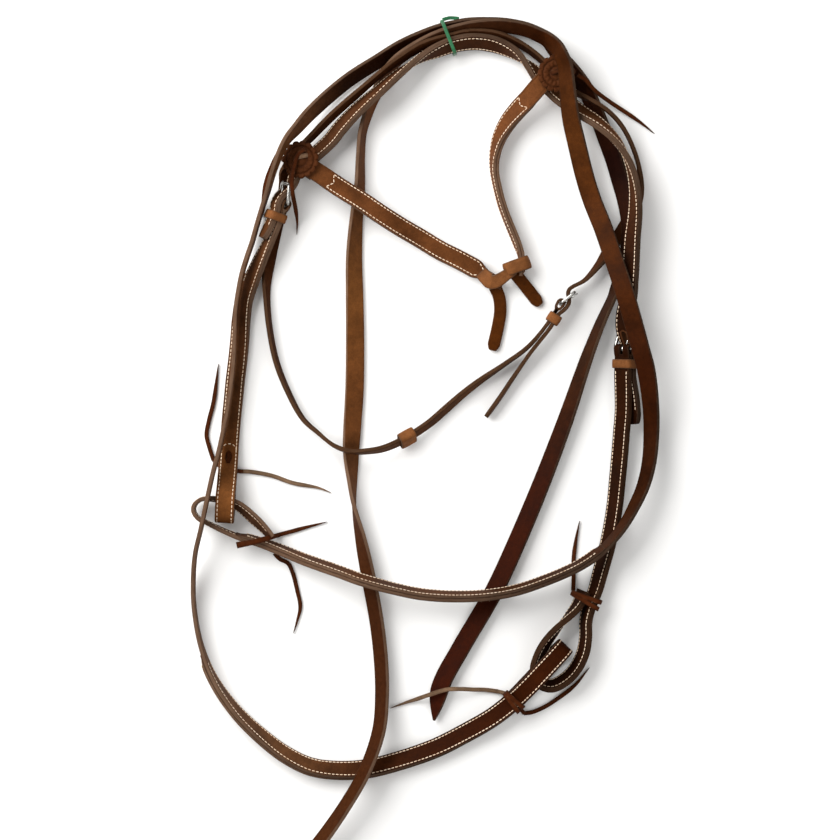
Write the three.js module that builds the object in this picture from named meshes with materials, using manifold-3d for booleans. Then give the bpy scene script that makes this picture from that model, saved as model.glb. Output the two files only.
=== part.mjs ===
// Futurity-knot browband headstall with a throat latch and two split reins, laid out flat on a bench.
// Millimetres, +Z up, the floor is z = 0, +X to the right of the layout and +Y towards the crown.
// Every strap is a flat blank of leather bent along a route. A route row is [x, y, base, lean]:
// base is the height of the strap's lowest edge and lean is the tilt of its face in degrees, so that
// 0 lies flat, 90 stands on edge, a positive lean lifts the right-hand edge and a negative one the left.
import * as THREE from "three";
import { mergeVertices } from "three/addons/utils/BufferGeometryUtils.js";
import Module from "manifold-3d";

const wasm = await Module();
wasm.setup();

// Driving dimensions
const GAP = 0.3; // clearance between neighbouring pieces
const STRAP = 19; // width of the reins, cheeks, crown and browband (3/4 in)
const THROAT = 12.7; // width of the throat latch (1/2 in)
const REIN_THICK = 4.2; // rein leather
const REIN_SAFE = 2.8; // lining sewn under the bit end of a rein
const OUTER_PLY = 3.2; // outer leather of the crown, cheeks and browband
const LINING_PLY = 2.6; // lining leather of the crown, cheeks and browband
const LINED = OUTER_PLY + GAP + LINING_PLY; // a lined strap, both plies together
const THROAT_THICK = 4;
const LACE_WIDTH = 4.2;
const LACE_THICK = 1.8;
const KEEPER_WALL = 2;
const ROSETTE_RADIUS = 19.5; // 1 1/2 in rosettes
const ROSETTE_THICK = 3;
const TURN_LIMIT = 12; // most degrees that a strap turns or twists between two stations
const STEP_LIMIT = 17; // longest straight facet of a strap

const UP = new THREE.Vector3(0, 0, 1);
const rad = THREE.MathUtils.degToRad;

const LEATHER = { color: 0x5b3118, roughness: 0.6, metalness: 0 };
const LACE_LEATHER = { color: 0x6e4424, roughness: 0.65, metalness: 0 };
const STEEL = { color: 0xc9c8c4, roughness: 0.22, metalness: 1 };
const GREEN = { color: 0x0f5a33, roughness: 0.55, metalness: 0 };

const headstall = new THREE.Group();

function piece(name, geometry, look) {
  const mesh = new THREE.Mesh(geometry, new THREE.MeshStandardMaterial(look));
  mesh.name = name;
  headstall.add(mesh);
  return mesh;
}

// ---- booleans ----------------------------------------------------------------------------------

function solid(geometry) {
  const bare = geometry.clone();
  bare.deleteAttribute("normal");
  bare.deleteAttribute("uv");
  const merged = mergeVertices(bare, 1e-4);
  return new wasm.Manifold(
    new wasm.Mesh({
      numProp: 3,
      vertProperties: new Float32Array(merged.attributes.position.array),
      triVerts: new Uint32Array(merged.index.array),
    }),
  );
}

function geometryOf(body) {
  const mesh = body.getMesh();
  const geometry = new THREE.BufferGeometry();
  geometry.setAttribute("position", new THREE.BufferAttribute(new Float32Array(mesh.vertProperties), 3));
  geometry.setIndex(new THREE.BufferAttribute(new Uint32Array(mesh.triVerts), 1));
  return geometry;
}

function join(first, ...rest) {
  return geometryOf(rest.reduce((body, g) => body.add(solid(g)), solid(first)));
}

function cut(first, ...rest) {
  return geometryOf(rest.reduce((body, g) => body.subtract(solid(g)), solid(first)));
}

// ---- straps ------------------------------------------------------------------------------------

// Route rows turned into centreline points for a strap of this width and thickness.
function lay(width, thick, rows) {
  return rows.map(([x, y, base, lean]) => {
    const rise = width * Math.abs(Math.sin(rad(lean))) + thick * Math.abs(Math.cos(rad(lean)));
    return { point: new THREE.Vector3(x, y, base + rise / 2), lean };
  });
}

// A flat fold: half a turn in the vertical plane, from one centre height to another.
function fold(x, y, forward, from, to) {
  const radius = (to - from) / 2;
  const middle = (to + from) / 2;
  return [-90, -45, 0, 45, 90].map((angle) => {
    const out = Math.abs(radius) * Math.cos(rad(angle));
    const z = middle + radius * Math.sin(rad(angle));
    return { point: new THREE.Vector3(x + forward[0] * out, y + forward[1] * out, z), lean: 0 };
  });
}

// Stations along a route, with the strap's width and face directions at each.
function stations(route) {
  const line = new THREE.CatmullRomCurve3(route.map((r) => r.point), false, "centripetal");
  const leans = new THREE.CatmullRomCurve3(
    route.map((r) => new THREE.Vector3(r.lean, 0, 0)),
    false,
    "catmullrom",
  );
  const fine = (route.length - 1) * 8;
  let side = null;
  const all = [];
  for (let i = 0; i <= fine; i++) {
    const u = i / fine;
    const along = line.getTangent(u);
    let next = new THREE.Vector3().crossVectors(along, UP);
    if (next.length() < 0.25 && side) next = side.clone().addScaledVector(along, -side.dot(along));
    next.normalize();
    if (side && next.dot(side) < 0) next.negate();
    side = next;
    const rise = new THREE.Vector3().crossVectors(side, along);
    const lean = rad(leans.getPoint(u).x);
    const across = side.clone().multiplyScalar(Math.cos(lean)).addScaledVector(rise, Math.sin(lean));
    const face = rise.clone().multiplyScalar(Math.cos(lean)).addScaledVector(side, -Math.sin(lean));
    all.push({ at: line.getPoint(u), along, across, face });
  }
  all[0].travelled = 0;
  for (let i = 1; i <= fine; i++)
    all[i].travelled = all[i - 1].travelled + all[i].at.distanceTo(all[i - 1].at);
  return all;
}

// The few stations that carry the strap's bends and twists. Plies that share a route share its stations,
// so from and to pick among them.
function thinned(span, from, to) {
  const kept = [span[0]];
  for (let i = 1; i < span.length - 1; i++) {
    const previous = kept[kept.length - 1];
    const ahead = span[i + 1];
    const turn = THREE.MathUtils.radToDeg(previous.along.angleTo(ahead.along));
    const twist = THREE.MathUtils.radToDeg(previous.face.angleTo(ahead.face));
    if (Math.max(turn, twist) > TURN_LIMIT || ahead.travelled - previous.travelled > STEP_LIMIT)
      kept.push(span[i]);
  }
  kept.push(span[span.length - 1]);
  return kept.filter((s) => s.travelled >= from && s.travelled <= (to ?? Infinity));
}

// A leather blank bent along its route. shift moves the ply off the centreline towards its face, tip
// tapers the far end over that length, and narrow is the width that is left at the tip.
// A mirrored blank has its facets split the other way, so that it mates with the ply that it backs.
function strap(route, { width, thick, shift = 0, from = 0, to, tip = 0, narrow = 0.25, neck, mirrored }) {
  const kept = thinned(stations(route), from, to);
  const end = kept[kept.length - 1].travelled;
  const count = kept.length - 1;
  const blank = new THREE.BoxGeometry(1, 1, 1, 1, 1, count);
  const spots = blank.attributes.position;
  for (let i = 0; i < spots.count; i++) {
    const s = kept[Math.round((0.5 - spots.getZ(i)) * count)];
    let share = 1;
    if (tip) share = Math.min(1, narrow + ((1 - narrow) * (end - s.travelled)) / tip);
    if (neck) share *= neck(s.travelled, end);
    const p = s.at.clone();
    p.addScaledVector(s.across, spots.getX(i) * width * share);
    p.addScaledVector(s.face, spots.getY(i) * thick * (mirrored ? -1 : 1) + shift);
    spots.setXYZ(i, p.x, p.y, p.z);
  }
  const corners = blank.index;
  for (let i = 0; mirrored && i < corners.count; i += 3) {
    const second = corners.getX(i + 1);
    corners.setX(i + 1, corners.getX(i + 2));
    corners.setX(i + 2, second);
  }
  return blank;
}

// ---- buckles -----------------------------------------------------------------------------------

// A frame of reference on a strap, so far along its route: x across, y along and z out of the face.
function seatOn(route, travelled) {
  const s = stations(route).find((one) => one.travelled >= travelled);
  return new THREE.Matrix4().makeBasis(s.across, s.along, s.face).setPosition(s.at);
}

// The place of a buckle: its bar, the direction that the strap runs away from it, and the lean of the
// strap there. Local x runs across the strap, y along it past the bar, and z out of its face.
function buckleSite({ bar, heading, lean }) {
  const along = new THREE.Vector3(Math.cos(rad(heading)), Math.sin(rad(heading)), 0);
  const side = new THREE.Vector3().crossVectors(along, UP);
  const across = side.clone().multiplyScalar(Math.cos(rad(lean))).addScaledVector(UP, Math.sin(rad(lean)));
  const face = UP.clone().multiplyScalar(Math.cos(rad(lean))).addScaledVector(side, -Math.sin(rad(lean)));
  const matrix = new THREE.Matrix4().makeBasis(across, along, face);
  matrix.setPosition(new THREE.Vector3(...bar));
  return {
    matrix,
    // a point on a route through the site, for a strap that leans this much in its own direction
    pass: (y, z, strapLean) => ({ point: new THREE.Vector3(0, y, z).applyMatrix4(matrix), lean: strapLean }),
    put: (name, geometry, look) => piece(name, geometry.applyMatrix4(matrix), look),
  };
}

function rod(radius, length, sides = 8) {
  return new THREE.CylinderGeometry(radius, radius, length, sides).rotateZ(Math.PI / 2);
}

// A heel-bar buckle frame: round wire bent to a rounded rectangle that tilts from the bar up to the front.
function buckleFrame({ inside, reach, wire, tilt }) {
  const w = (inside + wire) / 2;
  const r = 3.5;
  const corner = (x, y, from) => [0, 30, 60, 90].map((turn) => {
    const angle = rad(from + turn);
    return new THREE.Vector3(x + r * Math.cos(angle), y + r * Math.sin(angle), 0);
  });
  const bend = [
    ...corner(w - r, r, -90), ...corner(w - r, reach - r, 0), ...corner(r - w, reach - r, 90), ...corner(r - w, r, 180),
    new THREE.Vector3(-w / 3, 0, 0), new THREE.Vector3(w / 3, 0, 0),
  ];
  const path = new THREE.CatmullRomCurve3(bend, true, "centripetal");
  return new THREE.TubeGeometry(path, 36, wire / 2, 8, true).rotateX(rad(tilt));
}

// The tongue: an eye round the bar and a shank that rests on the front of the frame.
function buckleTongue({ reach, wire, tilt, eye, width }) {
  const lift = wire / 2 + GAP;
  const outline = new THREE.Shape();
  outline.moveTo(1, -lift);
  outline.lineTo(reach * 0.45, lift - 0.2);
  outline.lineTo(reach + wire / 2 + 0.8, lift);
  outline.lineTo(reach + wire / 2 + 0.8, lift + 1.6);
  outline.lineTo(reach * 0.5, lift + 2.2);
  outline.lineTo(-1, lift + 1.4);
  const shank = new THREE.ExtrudeGeometry(outline, { depth: width, bevelEnabled: false });
  shank.translate(0, 0, -width / 2);
  // the outline's x is the way along the strap and its y is out of the face
  shank.applyMatrix4(new THREE.Matrix4().makeBasis(
    new THREE.Vector3(0, 1, 0), new THREE.Vector3(0, 0, 1), new THREE.Vector3(1, 0, 0)));
  return cut(join(rod(eye, width, 16), shank), rod(wire / 2 + GAP, width + 2, 16)).rotateX(rad(tilt));
}

// A leather band round one or more straps: length runs along them, in local y.
function keeperBand({ inWidth, inHeight, length, wall = KEEPER_WALL }) {
  const w = inWidth / 2 + wall;
  const h = inHeight / 2 + wall;
  const c = wall * 0.6;
  const section = new THREE.Shape([[-w + c, -h], [w - c, -h], [w, -h + c], [w, h - c], [w - c, h], [-w + c, h],
    [-w, h - c], [-w, -h + c]].map(([x, y]) => new THREE.Vector2(x, y)));
  const block = new THREE.ExtrudeGeometry(section, { depth: length, bevelEnabled: false });
  block.translate(0, 0, -length / 2).rotateX(Math.PI / 2);
  return cut(block, new THREE.BoxGeometry(inWidth, length + 2, inHeight));
}

// ---- the two cheek buckles and the throat buckle -------------------------------------------------

const CHEEK_BUCKLE = { inside: STRAP + 1.4, reach: 20, wire: 3.6, tilt: 18, eye: 3.3, width: 3.4 };
const THROAT_BUCKLE = { inside: THROAT + 1.4, reach: 17, wire: 3, tilt: 19, eye: 2.8, width: 3 };
const CHAPE = 2.6; // leather left round the bar where a strap end is folded over it

const leftSite = buckleSite({ bar: [-140.5, 226, 18.8], heading: 69, lean: 70 });
const rightSite = buckleSite({ bar: [198.5, 81, 18], heading: 88, lean: -135 });
const throatSite = buckleSite({ bar: [136, 127, 12.5], heading: 57, lean: -90 });

// The eye of leather round the bar, with room for the tongue in the middle.
function withEye(site, body, width, buckle, thick) {
  const hollow = buckle.wire / 2 + GAP + 0.2;
  const eye = rod(hollow + CHAPE, width, 12).applyMatrix4(site.matrix);
  const bore = rod(hollow, width + 4, 12).applyMatrix4(site.matrix);
  const slot = new THREE.BoxGeometry(buckle.width + 1.2, 24, 2 * (hollow + CHAPE) + 2 * thick);
  slot.applyMatrix4(site.matrix);
  return cut(join(body, eye), bore, slot);
}

// The hole in a billet that the tongue comes up through, long enough for the tongue to lift.
function withHole(site, body, buckle) {
  const slot = new THREE.BoxGeometry(buckle.width + 1.6, buckle.reach - 2.4, 30);
  slot.translate(0, buckle.reach / 2 - 1.2, 0).applyMatrix4(site.matrix);
  return cut(body, slot);
}

function buckle(prefix, site, size, strapWidth, stack) {
  site.put(prefix + "_buckle_frame", buckleFrame(size), STEEL);
  site.put(prefix + "_buckle_tongue", buckleTongue(size), STEEL);
  const band = keeperBand({ inWidth: strapWidth + 1, inHeight: stack.height + 4 * GAP, length: stack.length });
  site.put(prefix + "_keeper", band.translate(0, stack.y, stack.middle + GAP), LEATHER);
}

const EYE = CHEEK_BUCKLE.wire / 2 + GAP + CHAPE; // radius of the leather round a cheek buckle's bar
const OVER_EYE = EYE + GAP + LINED / 2; // height of a billet's middle where it rides over the eye
const ON_CHEEK = LINED + GAP; // height of a billet's middle where it lies on the cheek
buckle("cheek_left", leftSite, CHEEK_BUCKLE, STRAP,
  { y: -15, length: 9, height: 2 * LINED + GAP, middle: (LINED + GAP) / 2 });
buckle("cheek_right", rightSite, CHEEK_BUCKLE, STRAP,
  { y: -15, length: 9, height: 2 * LINED + GAP, middle: (LINED + GAP) / 2 });
buckle("throat", throatSite, THROAT_BUCKLE, THROAT,
  { y: -17, length: 10, height: 2 * THROAT_THICK + GAP, middle: (THROAT_THICK + GAP) / 2 });

// ---- crown ---------------------------------------------------------------------------------------

const crownRoute = [
  leftSite.pass(-40, ON_CHEEK + 1.6, 70),
  leftSite.pass(-28, ON_CHEEK + 0.3, 70),
  leftSite.pass(-15, ON_CHEEK, 70),
  leftSite.pass(-9.5, ON_CHEEK + 0.1, 70),
  leftSite.pass(-3, OVER_EYE, 70),
  leftSite.pass(4, OVER_EYE - 0.6, 70),
  leftSite.pass(20, 0, 68),
  ...lay(STRAP, LINED, [
    [-128.7, 257, 6.4, 58],
    [-121, 265.5, 4.2, 52],
    [-114, 272, 3.8, 51],
    [-95, 289, 5, 51],
    [-85, 301.5, 8, 50],
    [-69, 318, 14, 54],
    [-47, 337, 19.6, 62],
    [-25, 356.5, 14, 74],
    [-5, 371, 8, 96],
    [12, 379, 7, 118],
    [30, 385.5, 6.5, 128],
    [50, 388, 6, 130],
    [70, 385, 6, 128],
    [90, 376, 5.4, 108],
    [105, 363, 4.2, 70],
    [113, 354.5, 3.8, 52],
    [121, 346.5, 3.8, 44],
    [135, 333, 4.4, 42],
    [152, 320, 10, 50],
    [175, 304, 17.6, 62],
    [192, 287, 17.6, 76],
    [203, 267, 17, 94],
    [208.5, 245, 17.5, 106],
    [209.5, 220, 19.5, 118],
    [206.5, 190, 20, 130],
    [205, 165, 19.5, 135],
    [204, 148, 19.4, 135],
    [203.2, 134, 15.5, 135],
  ]),
  rightSite.pass(33, -0.6, 135),
  rightSite.pass(20, 0, 135),
  rightSite.pass(4, OVER_EYE - 0.6, 135),
  rightSite.pass(-3, OVER_EYE, 135),
  rightSite.pass(-9.5, ON_CHEEK + 0.1, 135),
  rightSite.pass(-15, ON_CHEEK, 135),
  rightSite.pass(-28, ON_CHEEK + 0.7, 135),
  ...lay(STRAP, LINED, [[206, 32, 3, 133], [208.5, 6, 1, 132]]),
];

// A lined strap is an outer ply and a lining, sewn back to back. The route runs along the middle of both
// plies, or, when the strap is only lined for a part of its length, along the middle of the outer ply.
function linedStrap(name, route, { middle = true, liningFrom = 0, finish = (body) => body, ...rest } = {}) {
  const apart = GAP + (OUTER_PLY + LINING_PLY) / 2;
  const outerShift = middle ? (LINED - OUTER_PLY) / 2 : 0;
  const liningShift = middle ? outerShift - apart : apart;
  const outer = strap(route, { width: STRAP, thick: OUTER_PLY, shift: outerShift, ...rest });
  piece(name, finish(outer), LEATHER);
  const lining = strap(route, { width: STRAP, thick: LINING_PLY, shift: liningShift, mirrored: true, ...rest,
    from: liningFrom });
  piece(name + "_lining", middle ? finish(lining, true) : lining, LEATHER);
}

linedStrap("crown_strap", crownRoute, {
  finish: (body) => withHole(rightSite, withHole(leftSite, body, CHEEK_BUCKLE), CHEEK_BUCKLE),
  neck: (travelled, end) => Math.min(1, 0.55 + 0.45 * Math.min(travelled, end - travelled) / 10),
});

// ---- cheeks --------------------------------------------------------------------------------------

const cheekLeftRoute = [
  leftSite.pass(0, 0, -70),
  leftSite.pass(-12, 0, -70),
  leftSite.pass(-26, 0, -70),
  ...lay(STRAP, LINED, [
    [-155.5, 189, 7.5, -66],
    [-165, 169, 5.5, -54],
    [-173.5, 150, 2.5, -44],
    [-181, 130, 0.2, -34],
    [-184, 110, 0, -25],
    [-185.5, 90, 0, -18],
    [-187.5, 70, 0, -12],
    [-190, 50, 0, -8],
    [-192, 30, 0, -5],
    [-194, 10, 0.4, -3],
    [-195.5, -10, 3, 0],
    [-196.3, -26, 6.8, 0],
    [-197, -38, 10.5, 0],
    [-198, -54, 20.5, 0],
    [-199, -66, 25.6, 0],
  ]),
  ...fold(-199.6, -77, [-0.06, -1], 28.9, 3.05),
  ...lay(STRAP, LINED, [
    [-199, -62, 0, 0],
    [-197.8, -46, 0, 0],
    [-196.8, -30, 0, 0],
  ]),
];

const cheekRightRoute = [
  rightSite.pass(0, 0, 135),
  rightSite.pass(-12, 0, 135),
  rightSite.pass(-26, 0, 135),
  ...lay(STRAP, LINED, [
    [198, 38, 7.2, 134],
    [198, 18, 5.6, 132],
    [196.5, -2, 3.4, 132],
    [194.8, -25, 1, 132],
    [192.5, -50, 0, 131],
    [190, -75, 0, 130],
    [186, -100, 0, 130],
    [181.5, -120, 0, 128],
    [176, -140, 0, 126],
    [170.5, -160, 0.5, 122],
    [164, -177, 1, 118],
    [160.8, -192, 2, 114],
    [160.5, -207, 4, 114],
    [158, -222, 5, 115],
    [151, -237, 5, 116],
    [140, -249, 5, 116],
    [126, -255.5, 5, 116],
    [115, -251.5, 5, 116],
    [111, -240, 5, 116],
    [114.5, -226, 5, 116],
    [121, -213, 6.8, 112],
    [131, -200, 5.6, 102],
    [143, -187, 2, 84],
    [152.5, -175, 1, 70],
    [159, -161, 0.5, 62],
  ]),
];

const atBar = 8; // the lining stops short of the bar, so that only the outer ply is folded round it
const roundBar = (site) => (body, isLining) =>
  isLining ? body : withEye(site, body, STRAP, CHEEK_BUCKLE, OUTER_PLY);
linedStrap("cheek_left_strap", cheekLeftRoute, { liningFrom: atBar, finish: roundBar(leftSite) });
linedStrap("cheek_right_strap", cheekRightRoute, { liningFrom: atBar, finish: roundBar(rightSite) });

// ---- browband ------------------------------------------------------------------------------------

const browLeftRoute = [
  ...lay(STRAP, OUTER_PLY, [[-110, 258.5, 0, 0], [-119, 264.4, 0, 0]]),
  ...fold(-127.5, 269.8, [-0.84, 0.54], 1.6, 26.6),
  ...lay(STRAP, OUTER_PLY, [
    [-119, 264.4, 25.6, 0],
    [-110, 258.5, 27, 2],
    [-100, 252, 25.6, 4],
    [-85, 242, 22.6, 6],
    [-65, 229.5, 22.6, 8],
    [-45, 216, 21, 8],
    [-25, 203.5, 14, 8],
    [-5, 192, 8, 8],
    [15, 180, 6, 8],
    [35, 170, 6, 7],
    [53, 160, 6.6, 4],
    [66, 152, 7, 0],
    [78, 145, 7, 0],
  ]),
];

const browRightRoute = [
  ...lay(STRAP, OUTER_PLY, [[115.5, 345, 0, 0], [121, 351.3, 0, 0]]),
  ...fold(126.4, 357.4, [0.66, 0.75], 1.6, 22),
  ...lay(STRAP, OUTER_PLY, [
    [119, 349, 22.6, 0],
    [111, 340, 24.2, -6],
    [104, 332, 20, -14],
    [93, 321, 14, -26],
    [82, 308, 8, -40],
    [73, 292, 4, -58],
    [68.5, 275, 2, -72],
    [68, 260, 0.6, -80],
    [70.5, 245, 0.4, -82],
    [75, 227, 0.4, -82],
    [81, 210, 0.4, -82],
    [88, 193, 0.6, -82],
    [94, 177, 2.4, -84],
    [95.5, 168, 3.4, -88],
    [95.5, 154, 3.4, -90],
  ]),
];

const KNOT_WIDTH = 11; // the browband halves narrow to this where they go into the knot
const toKnot = (travelled, end) =>
  1 - (1 - KNOT_WIDTH / STRAP) * THREE.MathUtils.clamp((travelled - end + 33) / 12, 0, 1);
linedStrap("browband_left", browLeftRoute, { middle: false, liningFrom: 92, neck: toKnot });
linedStrap("browband_right", browRightRoute, { middle: false, liningFrom: 84, neck: toKnot });

// The futurity knot: a loop tied round each half of the browband, and the two loose strap ends.
function bandOn(name, route, fromEnd, size, out = 0) {
  const all = stations(route);
  const seat = seatOn(route, all[all.length - 1].travelled - fromEnd);
  return piece(name, keeperBand(size).translate(0, 0, out).applyMatrix4(seat), LEATHER);
}
const KNOT_WALL = 2.6;
const plies = (LINED - OUTER_PLY) / 2; // how far the middle of both plies is from the outer ply's own
bandOn("knot_loop_left", browLeftRoute, 9, { inWidth: KNOT_WIDTH + 4, inHeight: LINED + 1.2, length: 15,
  wall: KNOT_WALL }, plies);
bandOn("knot_loop_right", browRightRoute, 9, { inWidth: KNOT_WIDTH + 1.6, inHeight: 16, length: 15,
  wall: KNOT_WALL }, plies);

const KNOT_TAIL = 12.5;
piece("knot_tail_left", strap(lay(KNOT_TAIL, OUTER_PLY, [
  [71.5, 136, 0, 0], [74.5, 122, 0, 0], [72, 104, 0, 4], [67.5, 79.5, 0, 6]]),
  { width: KNOT_TAIL, thick: OUTER_PLY, tip: 6, narrow: 0.5 }), LEATHER);
piece("knot_tail_right", strap(lay(KNOT_TAIL, OUTER_PLY, [
  [97, 150.5, 0, 0], [103, 142, 0, 0], [114, 124.5, 0, 0]]),
  { width: KNOT_TAIL, thick: OUTER_PLY, tip: 6, narrow: 0.5 }), LEATHER);

// ---- throat latch --------------------------------------------------------------------------------

const THROAT_EYE = THROAT_BUCKLE.wire / 2 + GAP + CHAPE;
const THROAT_OVER_EYE = THROAT_EYE + GAP + THROAT_THICK / 2;
const ON_THROAT = THROAT_THICK + GAP;
const throatRoute = [
  throatSite.pass(0, 0, 90),
  throatSite.pass(-14, 0, 90),
  throatSite.pass(-26, 0, 90),
  ...lay(THROAT, THROAT_THICK, [
    [103, 83, 4, 86],
    [80, 66, 1.5, 84],
    [55, 49, 0, 74],
    [37, 35, 0, 68],
    [20, 20, 0, 64],
    [5, 7, 1.5, 64],
    [-18, -8, 5, 66],
    [-40, -18, 12, 70],
    [-56, -21, 16.6, 76],
    [-73, -21.5, 16.6, 82],
    [-90, -16, 14, 86],
    [-108, -2, 6, 92],
    [-122, 11, 2, 96],
    [-136, 36, 0, 100],
    [-149, 69, 0, 102],
    [-156, 105, 0, 102],
    [-158.5, 135, 0, 108],
    [-158, 155, 0, 130],
    [-155, 175, 0, 168],
    [-150, 198, 0, 176],
    [-144.5, 222, 0, 176],
    [-141, 237, 0, 172],
    [-140, 249, 0.2, 162],
    [-140, 257, 2.8, 148],
    [-137.5, 265, 5.8, 116],
    [-132.6, 273, 6.4, 101],
    [-125, 282, 6, 102],
    [-115, 291.5, 5.4, 110],
    [-97.5, 309, 9, 114],
    [-82.5, 322.5, 15.4, 114],
    [-67, 335.5, 19.8, 112],
    [-52, 348.5, 20.6, 108],
    [-37.5, 360.5, 20, 110],
    [-22, 371.8, 15.4, 114],
    [-2, 383.6, 12, 120],
    [23, 391, 10, 126],
    [45, 395.8, 9, 126],
    [70, 394.5, 8, 122],
    [90, 388, 5, 112],
    [105, 379.5, 3, 106],
    [119, 367.5, 4.8, 104],
    [132, 352.5, 4, 102],
    [148, 338.5, 9, 98],
    [166, 328.5, 17.2, 92],
    [182, 318.5, 17.2, 90],
    [197, 303, 10, 90],
    [209, 280, 3, 90],
    [215, 258, 0, 94],
    [214.5, 240, 0, 124],
    [209, 221, 0, 165],
    [200, 204, 0, 178],
    [191, 189.5, 0, 178],
    [184.5, 179.5, 0, 158],
    [176, 168, 2, 116],
    [160, 150, 5.5, 94],
  ]),
  throatSite.pass(15, -0.4, 90),
  throatSite.pass(4, THROAT_OVER_EYE, 90),
  throatSite.pass(-4, THROAT_OVER_EYE - 0.3, 90),
  throatSite.pass(-10, ON_THROAT + 0.1, 90),
  throatSite.pass(-17, ON_THROAT, 90),
  throatSite.pass(-28, ON_THROAT, 90),
  ...lay(THROAT, THROAT_THICK, [[106, 78, 6, 90], [88, 52, 1, 86], [74, 31, 0, 84], [61, 13, 0, 84]]),
];
const throatBody = strap(throatRoute, { width: THROAT, thick: THROAT_THICK, tip: 5, narrow: 0.6 });
piece("throat_latch", withEye(throatSite, withHole(throatSite, throatBody, THROAT_BUCKLE), THROAT,
  THROAT_BUCKLE, THROAT_THICK), LEATHER);
// The sliding keeper hangs loosely on the throat latch, free to move along it.
const slideSpot = stations(throatRoute).find((one) => one.at.x < -17 && one.at.y < 0);
const slideSeat = new THREE.Matrix4().makeBasis(slideSpot.across, slideSpot.along, slideSpot.face);
slideSeat.setPosition(slideSpot.at);
const slidingKeeper = keeperBand({ inWidth: THROAT + 2.6, inHeight: THROAT_THICK + 2.8, length: 17 });
piece("throat_sliding_keeper", slidingKeeper.applyMatrix4(slideSeat), LEATHER);

// ---- reins ---------------------------------------------------------------------------------------

const reinLeftRoute = lay(STRAP, REIN_THICK, [
  [-157, -103, 3.2, 90], [-170, -90, 5, 88], [-188, -75, 6.6, 90], [-204, -70, 6.6, 90], [-215, -68.8, 6.6, 90],
  [-224, -69.5, 6.5, 90], [-230.2, -75, 6.5, 90], [-231, -81, 6.5, 90], [-226.5, -88, 6.5, 90],
  [-217, -93, 6.5, 90], [-206, -98.5, 6, 88], [-195, -103.4, 5, 86], [-184, -107.8, 3, 84], [-163, -114.5, 0.6, 80],
  [-143, -122, 0.2, 76], [-123, -130, 4, 74], [-104, -136.5, 10, 72], [-85, -143, 15, 72], [-67, -149.5, 18.8, 72],
  [-50, -154.5, 18.8, 72], [-27, -160.5, 17, 74], [-5, -165, 14.5, 74], [27, -167.5, 12, 75],
  [59, -166.5, 12, 76], [88, -162, 12, 76], [115, -153.5, 12, 76], [152, -137.5, 15, 76], [172, -124, 18.6, 74],
  [184, -112, 18.8, 72], [197, -96, 18.6, 70], [208, -77, 16, 64], [218, -55, 13, 58], [224, -30, 11, 52],
  [226, -2, 10, 46], [225, 25, 17, 40], [220, 60, 27.5, 28], [214.5, 80, 31, 25], [209, 100, 32, 22],
  [198, 138, 33, 20],
  [187, 173, 25, 20], [178, 201, 16, 18], [167, 230, 8, 18], [160, 252, 10, 19], [151, 287, 18, 24],
  [145, 312, 26, 32], [141.5, 340, 32, 42], [139, 362, 32, 48], [134.5, 373, 35, 50],
  [130, 381, 27, 52], [124, 387.5, 19, 53], [116, 393, 12, 54],
  [100, 400, 9, 55], [75, 403.8, 8.4, 55], [50, 402.5, 6.8, 56], [30, 398.5, 5, 58], [15, 394, 4, 60],
  [0, 387.5, 3, 62], [-15, 379, 2, 64], [-28, 369.5, 1, 64], [-37.5, 358, 0, 62], [-45, 344, 0, 62],
  [-52, 330, 0, 66], [-57, 317, 0, 70], [-62.5, 298, 0, 74], [-64.5, 275, 0, 73], [-65.5, 243, 0, 66],
  [-69, 208, 0, 55], [-71, 173, 0, 42], [-70.5, 135, 0, 32], [-70, 95, 0, 24], [-70.5, 42, 0, 20],
  [-73, 0, 0, 30], [-74, -22, 0, 42], [-73, -48, 0, 66], [-71, -75, 0, 90], [-64, -110, 0, 118],
  [-57, -145, 0, 130], [-48.5, -191, 0, 130], [-44, -231, 0, 130], [-43, -265, 2, 128], [-46, -300, 10, 126],
  [-60, -340, 18.6, 122], [-78, -372, 16, 122], [-104, -410, 8, 126], [-135, -448, 0, 128], [-165, -484, 0, 130],
  [-190, -516, 0, 130],
]);

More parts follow.
